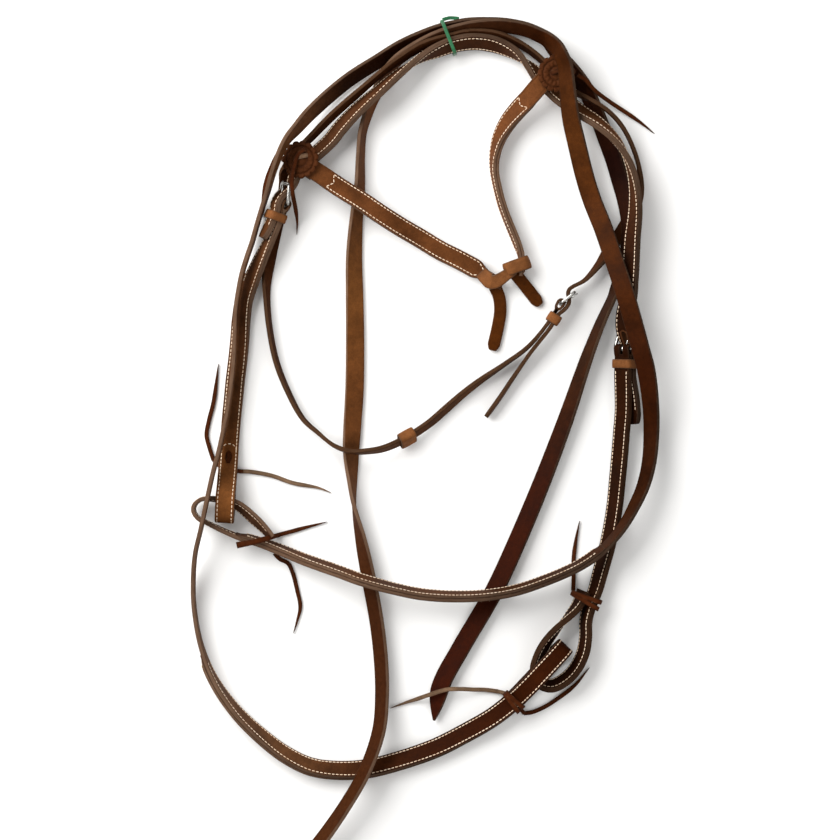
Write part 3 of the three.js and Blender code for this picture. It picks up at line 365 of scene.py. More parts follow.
def grid(rows, columns, closed=False, flip=False):
    """Faces over rows of points, each row a ring. The rows are closed into a loop, or capped at both ends."""
    idx = np.arange(rows * columns).reshape(rows, columns)
    a, b = (idx, np.roll(idx, -1, 0)) if closed else (idx[:-1], idx[1:])
    near, far = np.roll(a, -1, 1), np.roll(b, -1, 1)
    faces = np.stack([a, b, far, near] if flip else [a, near, far, b], -1).reshape(-1, 4).tolist()
    return faces if closed else faces + [idx[0][::-1].tolist(), idx[-1].tolist()]


def strap_section(thick, inset=None, seam=None, edge=0.8, both=True, back=1.0):
    """Points round a strap's section as (sign, inset from the edge, height, cut, flesh). A stitched strap has
    a groove at inset, in its front or in both faces; seam is the height of the line between its plies."""
    groove = 0.3
    h = thick / 2
    e = min(edge, h * 0.8)

    def face_points(v, flesh, stitched):
        down = -1 if v > 0 else 1
        row = [(e * 0.3, v + down * e * 0.3, 0.55), (e, v, 0.0)]
        if stitched:
            low = v + down * groove
            row += [(inset - 0.85, v, 0), (inset - 0.35, low, 0), (inset + 0.35, low, 0), (inset + 0.85, v, 0)]
        row += [(max(e, (inset or 1.2)) * 1.9, v, 0)]
        left = [(-1, i, y, c, flesh) for i, y, c in row]
        middle = [(0, 0, v, 0, flesh)]
        right = [(1, i, y, c, flesh) for i, y, c in reversed(row)]
        return left + middle + right

    heights = [h - e] + ([seam + 0.35, seam, seam - 0.35] if seam is not None else [0.0]) + [-h + e]
    edges = [(1, 0.32 if y == seam else 0.0, y, 1.0, 0.0) for y in heights]
    top = face_points(h, 0.0, inset is not None)
    under = face_points(-h, back, inset is not None and both)[::-1]
    return top + edges + under + [(-1, *point[1:]) for point in reversed(edges)]


SKIVE_REACH = 40  # how far from a shaped end the stations stand every millimetre
CLOSEST = 0.25  # no two stations stand closer
RIM_REACH, KEEPER_RIM = 3.2, 2.6  # how far in from an edge its burnish runs, on straps and on keepers
THINNEST = 0.25  # share of its thickness that a skived end keeps


def ribbon(name, stations, width, section, material, *, start=0.0, stop=None, share=None, lift=0.0,
           skive=None, **rest):
    """A leather blank of this section swept along its route. share narrows it, skive thins it from its back
    to front at its ends, and lift moves it off the route towards its face."""
    stop = stations.length if stop is None else stop
    s = stations.travelled[(stations.travelled > start + 0.3) & (stations.travelled < stop - 0.3)]
    s = np.concatenate([[start], s, [stop]])
    if share is not None or skive:
        steps = np.linspace(0, SKIVE_REACH, SKIVE_REACH + 1)
        extra = np.concatenate([start + steps, stop - steps])
        s = np.unique(np.concatenate([s, extra[(extra > start) & (extra < stop)]]))
        s = s[np.concatenate([[True], np.diff(s) > CLOSEST])]
    at, along, across, face = stations.sample(s)
    sign, inset, high, cut, flesh = (np.array(c, float) for c in zip(*section))
    shares = 1.0 if share is None else np.array([share(d, stations.length) for d in s])
    half = np.full(len(s), width / 2) * shares
    u = sign * np.maximum(half[:, None] - inset, 0.02 * (sign != 0))
    ends = np.minimum(s - start, stop - s)[:, None]
    thin = np.clip(ends / skive, THINNEST, 1) if skive else np.ones_like(ends)
    v = high.min() + (high - high.min()) * thin
    verts = at[:, None] + across[:, None] * u[..., None] + face[:, None] * (v + lift)[..., None]
    reach = np.minimum(np.where(sign == 0, 9.0, inset), ends)
    values = {"cut": np.clip(cut + (ends < 0.2), 0, 1), "flesh": flesh,
              "rim": np.clip(1 - reach / RIM_REACH, 0, 1), "way": s[:, None] * MM, "layer": v * MM}
    return piece(name, verts, grid(*u.shape), material, values=values, **rest)


def tube(points, radius, sides=16, closed=False):
    """Vertices and faces of a round bar swept along points, with one radius or one for each point."""
    p = np.asarray(points, float)
    n = len(p)
    t = unit(np.roll(p, -1, 0) - np.roll(p, 1, 0) if closed else np.gradient(p, axis=0))
    normals = [unit(np.cross(t[0], np.cross(p.max(0) - p.min(0), [0.3, 0.5, 0.8])))]
    for k in range(n):
        normals.append(unit(normals[-1] - t[k] * normals[-1].dot(t[k])))
    normals = np.array(normals[1:])
    if closed:
        # the twist gathered round the loop is taken out evenly
        spare = unit(normals[0] - t[-1] * normals[0].dot(t[-1]))
        twist = math.atan2(np.dot(np.cross(normals[-1], spare), t[-1]), normals[-1].dot(spare))
        a = (twist * np.arange(n) / n)[:, None]
        normals = normals * np.cos(a) + np.cross(t, normals) * np.sin(a)
    c, s = np.array(circle(sides)).T[..., None]
    r = np.broadcast_to(radius, (n,))[:, None, None]
    verts = p[:, None] + r * (c * normals[:, None] + s * np.cross(t, normals)[:, None])
    return verts.reshape(-1, 3), grid(n, sides, closed)


def joined(first, second):
    """Two (verts, faces) as one."""
    base = len(first[0])
    return np.vstack([first[0], second[0]]), first[1] + [[i + base for i in face] for face in second[1]]


def rounded_loop(half_x, half_y, radius):
    """Points and outward normals round a rounded rectangle."""
    per_corner, per_side = 7, 5
    radius = min(radius, half_x * 0.98, half_y * 0.98)
    x, y = half_x - radius, half_y - radius
    corners = np.array([(x, y), (-x, y), (-x, -y), (x, -y)])
    points, normals = [], []
    for k, corner in enumerate(corners):
        ring = [np.array(cos_sin(a)) for a in np.linspace(90 * k, 90 * k + 90, per_corner)]
        first, last = (c + radius * ring[-1] for c in (corner, corners[(k + 1) % 4]))
        points += [corner + radius * n for n in ring]
        points += [first + (last - first) * j / per_side for j in range(1, per_side)]
        normals += ring + [ring[-1]] * (per_side - 1)
    return np.array(points), np.array(normals)


def band(name, origin, axes, in_x, in_z, length, wall, material, radius, swell=0.0, **rest):
    """A leather keeper: a band bent round a rounded rectangle of in_x by in_z, its length along the strap and
    its outer face swollen in the middle."""
    loop, normals = rounded_loop(in_x / 2, in_z / 2, radius)
    e = min(0.7, wall * 0.4)
    h = length / 2
    section = [(-h, 0.15, 1), (-h, wall - e, 1), (-h + e * 0.35, wall - e * 0.35, 0.5), (-h + e, wall, 0)]
    section += [(x, wall + swell * (1 - (x / h) ** 2), 0)
                for x in (-h * 0.62, -h * 0.3, 0, h * 0.3, h * 0.62)]
    section += [(h - e, wall, 0), (h - e * 0.35, wall - e * 0.35, 0.5), (h, wall - e, 1), (h, 0.15, 1),
                (h - 0.15, 0, 0.5), (-h + 0.15, 0, 0.5)]
    y, out, cut = (np.array(c, float)[None, :] for c in zip(*section))
    local = np.stack([loop[:, :1] + normals[:, :1] * out, np.repeat(y, len(loop), 0),
                      loop[:, 1:] + normals[:, 1:] * out], -1)
    verts = np.asarray(origin, float) + local @ np.asarray(axes, float)
    values = {"cut": cut, "flesh": out < 0.1, "rim": np.clip(1 - (h - np.abs(y)) / KEEPER_RIM, 0, 1),
              "way": np.arange(len(loop))[:, None] * MM, "layer": out * MM}
    return piece(name, verts, grid(*local.shape[:2], closed=True, flip=True), material, values=values, **rest)


# ---- stitches ------------------------------------------------------------------------------------

PITCH, STITCH, THREAD = 3.9, 2.9, 0.46  # between stitches, a stitch's length, and its half width
INSET = 2.3  # how far a row stands in from the strap's edge
SLANT = 0.07  # the most that a stitch turns out of its row, in radians


def capsule():
    """One stitch."""
    sides = 6
    rings = [(-0.5, 0.25), (-0.46, 0.7), (-0.3, 1.0), (0.0, 1.04), (0.3, 1.0), (0.46, 0.7), (0.5, 0.25)]
    verts = [(x * STITCH, r * THREAD * c, r * THREAD * 0.8 * s) for x, r in rings for c, s in circle(sides)]
    return np.array(verts), grid(len(rings), sides)


def sew(name, spots):
    """One object of stitches at (point, direction, up) spots."""
    template, faces = capsule()
    verts, all_faces = [], []
    for k, (p, d, up) in enumerate(spots):
        slant = random.uniform(-SLANT, SLANT)
        d = unit(d)
        side = unit(np.cross(up, d))
        d = d * math.cos(slant) + side * math.sin(slant)
        side = np.cross(up, d)
        verts.append(p + template @ np.array([d, side, np.cross(d, side)]))
        all_faces += [[i + k * len(template) for i in face] for face in faces]
    piece(name, np.vstack(verts), all_faces, THREAD_MATERIAL, smooth=None)


def rows_of(stations, height, start, stop, share=None, faces=(1, -1), ends=()):
    """Stitch spots in two rows along a strap, on its front (1), its back (-1) or both. ends are (where,
    depth) of a pointed row that closes the two."""
    spots = []
    count = max(2, int(round((stop - start) / PITCH)))
    d = start + (np.arange(count) + 0.5) * (stop - start) / count
    at, along, across, face = stations.sample(d)
    for f in faces:
        for side in (-1, 1):
            for k in range(count):
                half = STRAP / 2 * (share(d[k], stations.length) if share else 1)
                p = at[k] + across[k] * side * (half - INSET) + face[k] * (f * height)
                spots.append((p, along[k], face[k] * f))
        for where, depth in ends:
            a, t, c, o = (v[0] for v in stations.sample(np.array([where])))
            half = STRAP / 2 * (share(where, stations.length) if share else 1) - INSET
            for side in (-1, 1):
                n = max(1, int(round(math.hypot(half, depth) / PITCH)))
                for j in range(n):
                    w = (j + 0.5) / n
                    p = a + c * side * half * (1 - w) + t * depth * w + o * (f * height)
                    spots.append((p, -c * side * half + t * depth, o * f))
    return spots


# ---- materials -----------------------------------------------------------------------------------

RAMP_REACH = 2.4  # metres of strap that a colour ramp spans


def rgb(r, g, b):
    """An sRGB colour, 0 to 255, as linear RGBA."""
    def lin(c):
        c /= 255
        return c / 12.92 if c <= 0.04045 else ((c + 0.055) / 1.055) ** 2.4
    return (lin(r), lin(g), lin(b), 1.0)


def hide(r, g, b):
    """A leather's own colour from the sRGB colour that it shows under the studio lights."""
    return tuple(max(0.0008, c / 1.35 - 0.0012) for c in rgb(r, g, b)[:3]) + (1.0,)


class Graph:
    """A material and short ways to add nodes to it."""

    def __init__(self, name):
        self.material = bpy.data.materials.new(name)
        self.material.use_nodes = True
        self.tree = self.material.node_tree
        self.shader = self.tree.nodes["Principled BSDF"]
        self.place = self.add("TexCoord").outputs["Object"]

    def add(self, kind, inputs=None, **settings):
        node = self.tree.nodes.new("ShaderNode" + kind)
        for key, value in settings.items():
            setattr(node, key, value)
        for key, value in (inputs or {}).items():
            self.put(node.inputs[key], value)
        return node

    def put(self, socket, value):
        if isinstance(value, bpy.types.NodeSocket):
            self.tree.links.new(value, socket)
        else:
            socket.default_value = value

    def math(self, operation, a, b, clamp=False):
        return self.add("Math", {0: a, 1: b}, operation=operation, use_clamp=clamp).outputs[0]

    def mix(self, share, a, b, blend="MIX"):
        return self.add("Mix", {0: share, 6: a, 7: b}, data_type="RGBA", blend_type=blend).outputs[2]

    def times(self, a, b, clamp=False):
        return self.math("MULTIPLY", a, b, clamp)

    def show(self, name, value):
        self.put(self.shader.inputs[name], value)

    def attribute(self, name):
        return self.add("Attribute", attribute_name=name).outputs["Fac"]

    def noise(self, scale, detail=3.0, rough=0.55, vector=None, distortion=0.0):
        return self.add("TexNoise", {"Vector": vector or self.place, "Scale": scale, "Detail": detail,
                                     "Roughness": rough, "Distortion": distortion}).outputs["Fac"]

    def spread(self, value, low, high, out_low=0.0, out_high=1.0):
        return self.add("MapRange", {0: value, 1: low, 2: high, 3: out_low, 4: out_high}).outputs[0]

    def ramp(self, way, places, colours):
        """Colours at places in metres along a strap."""
        node = self.add("ValToRGB")
        self.put(node.inputs[0], self.math("DIVIDE", way, RAMP_REACH))
        points = node.color_ramp.elements
        while len(points) < len(places):
            points.new(0.5)
        for point, place in zip(points, places):
            point.position = place / RAMP_REACH
        for point, colour in zip(points, colours):
            point.color = colour
        return node.outputs[0]

    def bump(self, height, strength, distance, normal=None):
        inputs = {"Height": height, "Strength": strength, "Distance": distance}
        return self.add("Bump", inputs | ({"Normal": normal} if normal else {})).outputs["Normal"]


CUT = ((72, 50, 36), (132, 104, 84))
FLESH = ((52, 24, 8), (72, 38, 18))
LEATHER_SPECULAR = 0.025


def leather(name, grain, flesh=FLESH, cut=CUT, rough=0.5):
    """Oiled strap leather: pebbled grain with mottling, a fibrous flesh side, layered cut edges and darker,
    rubbed rims. grain is a colour, or a list of marks along a strap, each (millimetres along it, colour,
    dimming of the flesh side and the cut edge). The marks' colours are partly the strap's own tone and partly
    painted light and shade: darker where the strap runs off to the right and bottom, away from the key lamp.
    The dimming is painted shade on the flesh side and cut edge there, and painted light where it is above 1."""
    g = Graph(name)
    flesh, cut = ([hide(*c) for c in pair] for pair in (flesh, cut))
    way, rim, edge, back, layer = (g.attribute(a) for a in ("way", "rim", "cut", "flesh", "layer"))
    pebbles = g.add("TexVoronoi", {"Vector": g.place, "Scale": 950.0, "Smoothness": 0.6},
                    feature="SMOOTH_F1").outputs["Distance"]
    pores = g.noise(2600.0, 2.0)
    cloud = g.noise(34.0, 5.0, 0.6)
    fleck = g.noise(230.0, 4.0, 0.65)
    wrinkle = g.noise(150.0, 3.0, 0.5, distortion=1.6)
    flow = g.add("CombineXYZ", {0: g.times(way, 90.0), 1: g.times(layer, 2600.0),
                                2: g.times(fleck, 1.2)}).outputs[0]
    layers = g.noise(1.0, 4.0, 0.6, vector=flow)
    painted_shading = None
    if isinstance(grain, list):
        places = [mark[0] * MM for mark in grain]
        base = g.ramp(way, places, [hide(*mark[1]) for mark in grain])
        painted_shading = g.ramp(way, places, [(mark[2],) * 3 + (1.0,) for mark in grain])
    else:
        base = hide(*grain)
    tone = g.spread(cloud, 0.3, 0.7, 0.62, 1.3)
    tone = g.times(tone, g.spread(fleck, 0.25, 0.75, 0.8, 1.18))
    tone = g.times(tone, g.spread(pebbles, 0.0, 0.6, 1.06, 0.84))
    shade = g.add("CombineColor", {0: tone, 1: tone, 2: tone}).outputs[0]
    colour = g.mix(1.0, base, shade, "MULTIPLY")
    rear = g.mix(g.spread(fleck, 0.2, 0.8), *flesh)
    fibres = g.mix(g.spread(layers, 0.25, 0.75), *cut)
    # Painted light and shade: the marks' dimming darkens the flesh side and cut edge where the face is painted
    # darker, and lightens them where it is above 1.
    if painted_shading is not None:
        rear, fibres = g.mix(1.0, rear, painted_shading, "MULTIPLY"), g.mix(1.0, fibres, painted_shading, "MULTIPLY")
    colour = g.mix(g.times(back, 0.8), colour, rear)
    burn = g.times(g.math("POWER", rim, 2.0), g.spread(cloud, 0.3, 0.75, 0.62, 0.3))
    colour = g.mix(burn, colour, hide(26, 10, 4))
    rub = g.times(g.math("POWER", rim, 6.0), g.spread(fleck, 0.52, 0.66), True)
    colour = g.mix(g.times(rub, 0.45), colour, hide(150, 108, 74))
    g.show("Base Color", g.mix(edge, colour, fibres))
    dull = g.spread(cloud, 0.3, 0.7, rough, rough + 0.14)
    g.show("Roughness", g.math("ADD", dull, g.times(g.math("MAXIMUM", back, edge), 0.16), True))
    height = g.math("ADD", g.times(pebbles, -0.7), g.times(pores, 0.25))
    height = g.math("ADD", height, g.times(g.times(layers, edge), 1.2))
    g.show("Normal", g.bump(wrinkle, 0.3, 0.0006, g.bump(height, 0.42, 0.00022)))
    g.show("Specular IOR Level", LEATHER_SPECULAR)
    return g.material


def steel():
    g = Graph("polished_steel")
    tarnish = g.spread(g.noise(300.0, 4.0), 0.3, 0.7)
    g.show("Base Color", g.mix(tarnish, rgb(150, 148, 143), rgb(196, 195, 190)))
    g.show("Metallic", 1.0)
    stretched = g.add("Mapping", {"Vector": g.place, "Scale": (1.0, 1.0, 9.0)}).outputs[0]
    scratches = g.noise(900.0, 5.0, 0.7, vector=stretched)
    g.show("Roughness", g.spread(scratches, 0.3, 0.7, 0.14, 0.32))
    g.show("Normal", g.bump(scratches, 0.12, 0.00006))
    return g.material


def thread():
    g = Graph("waxed_thread")
    grime = g.spread(g.noise(120.0, 3.0), 0.45, 0.75)
    g.show("Base Color", g.mix(grime, rgb(238, 214, 186), rgb(196, 156, 118)))
    g.show("Normal", g.bump(g.noise(3200.0, 2.0), 0.5, 0.0001))
    g.show("Roughness", 0.62)
    return g.material


def green():
    g = Graph("green_twist_tie")
    g.show("Base Color", g.mix(g.spread(g.noise(420.0, 4.0), 0.3, 0.7), rgb(6, 70, 38), rgb(16, 100, 56)))
    g.show("Normal", g.bump(g.noise(1500.0, 3.0), 0.4, 0.0002))
    g.show("Roughness", 0.42)
    return g.material


RUSSET = leather("russet_strap_leather", (110, 65, 35))
DARK_RUSSET = leather("dark_strap_leather", (46, 22, 9), cut=((30, 17, 10), (78, 54, 38)))
KEEPER = leather("keeper_leather", (134, 84, 48), rough=0.46)
LATCH = leather("throat_latch_leather", (88, 54, 30), cut=((44, 28, 18), (96, 68, 48)))
ROSETTE = leather("rosette_leather", (84, 46, 24), cut=((50, 28, 16), (92, 58, 38)), rough=0.46)
TAIL = leather("knot_tail_leather", (86, 44, 14), cut=((66, 38, 20), (134, 96, 68)), rough=0.46)
LACE_LIGHT = leather("light_lace_leather", (136, 108, 84), ((96, 70, 52), (146, 116, 92)),
                     ((84, 60, 44), (146, 116, 92)), rough=0.66)
LACE_DARK = leather("dark_lace_leather", (82, 40, 18), ((44, 22, 12), (86, 50, 30)),
                    ((40, 22, 13), (86, 56, 38)), rough=0.6)
STEEL, THREAD_MATERIAL, GREEN = steel(), thread(), green()
SLOT_SHADOW = leather("slot_shadow_leather", (22, 10, 6), cut=((18, 9, 6), (32, 18, 11)))

# ---- straps --------------------------------------------------------------------------------------

crown = Stations(crown_route)
cheek_left, cheek_right = Stations(cheek_left_route), Stations(cheek_right_route)
brow_left, brow_right = Stations(brow_left_route), Stations(brow_right_route)
throat = Stations(throat_route)
rein_left, rein_right = Stations(rein_left_route), Stations(rein_right_route)

lined = strap_section(LINED, INSET, seam=-0.3, back=0.0)
AT_BAR = 5.5  # a strap that is folded round a buckle's bar starts this far from it


def way_near(stations, x, y, after=0.0):
    """How far along a route it passes nearest to a place, past a least distance."""
    d = np.hypot(stations.at[:, 0] - x, stations.at[:, 1] - y)
    d[stations.travelled < after] = np.inf
    return float(stations.travelled[int(np.argmin(d))])


def marks_near(stations, rows, after=0.0):
    """Colour marks along a route from a text of rows "x y red green blue dimming"; the colours are partly
    painted light and shade, and the dimming is painted shading of the flesh side and cut edge.
    """
    return [(way_near(stations, x, y, after), colour, painted_shading) for x, y, *colour, painted_shading in table(rows, 6).tolist()]


def tip(least, reach, both=False):
    """The share of its width that a strap with a rounded tip has at a distance along it."""
    def share(d, end):
        left = min(d, end - d) if both else end - d
        return min(1.0, least + (1 - least) * math.sqrt(min(1.0, max(0.0, left) / reach)))
    return share


BORE_PLAY = 2.2  # how much wider than its tongue a billet's hole is
BORE_NEAR, BORE_FAR = -1.8, 2.6  # the hole's near end, and how far short of the reach its far end is
BORE_HALF_DEPTH = 16


def bore(obj, site, buckle):
    """Cuts the long tongue hole through a billet."""
    half = (buckle["width"] + BORE_PLAY) / 2
    outline = [(way * half * s, y + way * half * (c - 1))
               for way, y in ((1, buckle["reach"] - BORE_FAR), (-1, BORE_NEAR))
               for c, s in map(cos_sin, np.linspace(-90, 90, 9))]
    verts = [site.point((x, y, way * BORE_HALF_DEPTH)) for way in (-1, 1) for x, y in outline]
    n = len(outline)
    faces = [list(range(n)), list(range(2 * n - 1, n - 1, -1))]
    faces += [[i, n + i, n + (i + 1) % n, (i + 1) % n] for i in range(n)]
    tool = placed("cutter", shape("cutter", verts, faces, {"cut": 1}))
    made = obj.modifiers.new("bore", "BOOLEAN")
    made.operation, made.solver, made.object = "DIFFERENCE", "EXACT", tool
    bpy.context.view_layer.update()
    fresh = bpy.data.meshes.new_from_object(obj.evaluated_get(bpy.context.evaluated_depsgraph_get()))
    obj.modifiers.remove(made)
    obj.data = fresh
    bpy.data.objects.remove(tool)


# The crown's colour marks are partly painted shade: darker over the top of its loop and down its right end,
# away from the key lamp.
CROWN_LEATHER = leather("crown_strap_leather", marks_near(crown, """
    -150 200 92 56 32 0.8, -95 289 92 56 34 0.9, -20 360 84 50 30 0.8, 70 385 62 34 18 0.5,
    113 354 112 70 42 0.8, 175 304 104 64 38 0.8, 203 267 84 50 30 0.6, 207 190 56 30 16 0.4,
    200 60 46 22 10 0.32"""))
crown_piece = ribbon("crown_leather", crown, STRAP, lined, CROWN_LEATHER, share=tip(0.55, 10, both=True),
                     nodes=("crown_strap", "crown_strap_lining"))
bore(crown_piece, left_site, CHEEK_BUCKLE)
bore(crown_piece, right_site, CHEEK_BUCKLE)
CROWN_EDGE = 14
sew("crown_stitches", rows_of(crown, LINED / 2, CROWN_EDGE, crown.length - CROWN_EDGE))

# The left cheek's colour marks are partly painted light: lightest, orange-tan, where its end rises to the fold,
# a painted sheen on the raised leather.
CHEEK_LEATHER = leather("cheek_left_leather", [
    (0, (84, 52, 30), 0.8), (110, (96, 58, 34), 0.8), (220, (104, 64, 36), 0.9), (262, (112, 66, 32), 1.0),
    (300, (140, 86, 44), 1.0), (340, (112, 66, 32), 1.0)])
for side, route, material in (("left", cheek_left, CHEEK_LEATHER), ("right", cheek_right, DARK_RUSSET)):
    node = "cheek_" + side
    ribbon(node + "_leather", route, STRAP, lined, material, start=AT_BAR,
           nodes=(node + "_strap", node + "_strap_lining"))
    sew(node + "_stitches", rows_of(route, LINED / 2, 22, route.length - 5))

KNOT_WIDTH = 11  # of a browband where it goes into the knot


def to_knot(d, end):
    """A browband narrows to the knot over its last stretch."""
    t = min(1.0, max(0.0, (d - end + 33) / 14))
    return 1 - (1 - KNOT_WIDTH / STRAP) * t * t * (3 - 2 * t)


outer = strap_section(OUTER_PLY, INSET, back=0.0)
lining = strap_section(LINING_PLY + GAP, INSET, both=False, back=0.0)
LINING_LIFT = (OUTER_PLY + LINING_PLY + GAP) / 2
# start is where the lining begins. The rows close in a point at both ends, 4.5 and 11 mm deep.
for side, route, start in (("left", brow_left, 92), ("right", brow_right, 84)):
    node = "browband_" + side
    ribbon(node + "_leather", route, STRAP, outer, RUSSET, share=to_knot, nodes=(node,))
    ribbon(node + "_lining_leather", route, STRAP, lining, RUSSET, start=start, share=to_knot, skive=5,
           lift=LINING_LIFT, slot="lining_leather", nodes=(node + "_lining",))
    first, last = start + 7, route.length - 31
    ends = ((first, 4.5), (last, 11))
    spots = rows_of(route, LINING_LIFT + (LINING_PLY + GAP) / 2, first, last, to_knot, faces=(1,), ends=ends)
    spots += rows_of(route, OUTER_PLY / 2, first, last, to_knot, faces=(-1,), ends=ends)
    sew(node + "_stitches", spots)

latch = ribbon("throat_latch_leather", throat, THROAT, strap_section(THROAT_THICK), LATCH, start=AT_BAR,
               share=tip(0.45, 9), nodes=("throat_latch",))
bore(latch, throat_site, THROAT_BUCKLE)

# ---- reins ---------------------------------------------------------------------------------------


def rein_share(d, end):
    """A long pointed rein tip."""
    left = max(0.0, end - d)
    return min(1.0, 0.1 + 0.9 * math.sin(min(1.0, left / 34) * math.pi / 2))


# The left rein's colour marks are partly painted shade: darkest where it runs up the right side, lightest along
# its left stretch and tail, nearer the key lamp, where the dimming above 1 is painted light.
REIN_LEFT = leather("rein_left_leather", marks_near(rein_left, """
    -157 -103 96 62 40 1, -67 -149 92 58 38 1, 27 -167 82 50 30 0.72, 115 -153 64 36 18 0.4,
    226 -2 54 24 8 0.3, 220 60 56 24 8 0.3, 187 173 76 38 14 0.4, 151 287 88 48 20 0.5, 116 393 56 26 10 0.4""")
    + marks_near(rein_left, """
    -15 379 96 58 36 0.9, -64 275 108 66 38 1, -70 135 124 76 38 1.3, -70 42 118 70 36 1.3,
    -64 -110 92 58 34 1.15, -48 -191 70 36 14 1, -60 -340 70 38 16 1, -190 -516 104 64 34 1.4""", after=900))
# The right rein's colour marks are partly painted shade: lighter up its left side, darker across the top, down
# the right side and along the bottom, away from the key lamp.
REIN_RIGHT = leather("rein_right_leather", marks_near(rein_right, """
    119 -240 60 26 9 0.4, 10 -318 58 26 10 0.4, -60 -338 72 38 18 0.6, -140 -323 104 68 42 0.8,
    -203 -261 110 76 54 1, -222 -97 96 64 42 0.95, -190 80 118 78 48 1, -127 301 110 70 42 1,
    -75 351 56 28 12 0.55, 75 405 52 24 10 0.45""") + marks_near(rein_right, """
    168 324 66 32 14 0.5, 189 270 34 13 6 0.3, 202 172 50 26 13 0.5, 163 75 62 34 17 0.6,
    118 -50 56 22 4 0.4, 9 -291 60 22 5 0.4""", after=1000))
rein = strap_section(REIN_THICK, edge=1.0)
turned = [(sign, inset, high, cut, 1.0 - flesh if cut == 0 else 0.0)
          for sign, inset, high, cut, flesh in rein]  # the right rein lies flesh side up
safe = strap_section(REIN_SAFE + GAP, INSET, both=False, back=0.0)
REIN_EDGE, REIN_FIRST = 9, 8  # from the safe's ends to its stitches, and from the rein's end to its own
for side, route, section, material, start, stop in (("left", rein_left, rein, REIN_LEFT, 150, 542),
                                                    ("right", rein_right, turned, REIN_RIGHT, 162, 562)):
    node = "rein_" + side
    ribbon(node + "_strap", route, STRAP, section, material, share=rein_share, nodes=(node,))
    ribbon(node + "_safe", route, STRAP, safe, material, start=start, stop=stop, skive=14,
           lift=(REIN_THICK + REIN_SAFE + GAP) / 2, nodes=(node + "_lining",))
    spots = rows_of(route, REIN_THICK / 2 + REIN_SAFE + GAP, start + REIN_EDGE, stop - REIN_EDGE, faces=(1,))
    spots += rows_of(route, REIN_THICK / 2, REIN_FIRST, stop - REIN_EDGE, faces=(-1,))
    spots += rows_of(route, REIN_THICK / 2, REIN_FIRST, start - 2, faces=(1,))
    sew(node + "_stitches", spots)

# ---- buckles -------------------------------------------------------------------------------------


class Path(Stations):
    """A strap whose line is given outright, all with one width direction."""

    def __init__(self, points, across):
        u = np.linspace(0, 1, (len(points) - 1) * 6 + 1)
        self.at = spline(points, u)
        self.along = unit(np.gradient(self.at, axis=0))
        self.across = np.repeat(np.asarray(across, float)[None, :], len(u), 0)
        self.face = np.cross(self.across, self.along)
        self.measure()


def tilted(site, points, tilt):
    """Local (x, y, z) points turned about the bar and placed."""
    c, s = cos_sin(tilt)
    return np.array([site.point((x, y * c - z * s, y * s + z * c)) for x, y, z in points])


BEND = 3.5  # radius of a buckle frame's corners
KEEPER_WALL, KEEPER_CORNER = 2, 1.6
EYE_SIDES = 32


def frame_line(half, reach):
    """The centreline of a buckle's frame: two bent corners at each end, and the bar along y = 0."""
    bend = [(x + BEND * c, y + BEND * s, 0)
            for x, y, start in ((half - BEND, BEND, -90), (half - BEND, reach - BEND, 0),
                                (BEND - half, reach - BEND, 90), (BEND - half, BEND, 180))
            for c, s in map(cos_sin, range(start, start + 91, 30))]
    bend += [(-half / 3, 0, 0), (half / 3, 0, 0)]
    loop = spline(bend[-2:] + bend + bend[:3], np.linspace(0, 1, 200))
    first = np.argmin(np.linalg.norm(loop[:60] - bend[0], axis=1))
    last = 100 + np.argmin(np.linalg.norm(loop[100:] - bend[0], axis=1))
    return loop[first:last]


def tongue(size):
    """A tongue: its shank over the frame's far end, and its eye round the bar."""
    wire, half = size["wire"], size["width"] / 2
    share = np.linspace(0, 1, 26)
    far, over = size["reach"] + wire / 2 + 0.8, wire / 2 + GAP + 0.85
    line = [(0, 2.0 + (far - 2.0) * k, 1.5 + (over - 1.5) * math.sin(min(1, k * 2.1) * math.pi / 2))
            for k in share]
    radii = np.array([1.35 - 0.45 * k if k < 0.9 else 0.945 - 0.9 * (k - 0.9) for k in share])
    inner, rim = wire / 2 + 0.12, size["eye"]
    profile = [(inner, -half + 0.3), (inner + 0.3, -half), (rim - 0.4, -half), (rim, -half + 0.5),
               (rim, half - 0.5), (rim - 0.4, half), (inner + 0.3, half), (inner, half - 0.3)]
    eye = [(x, q * c, q * s) for c, s in circle(EYE_SIDES) for q, x in profile]
    return line, radii * size["width"] / 3.4, eye, grid(EYE_SIDES, len(profile), closed=True)


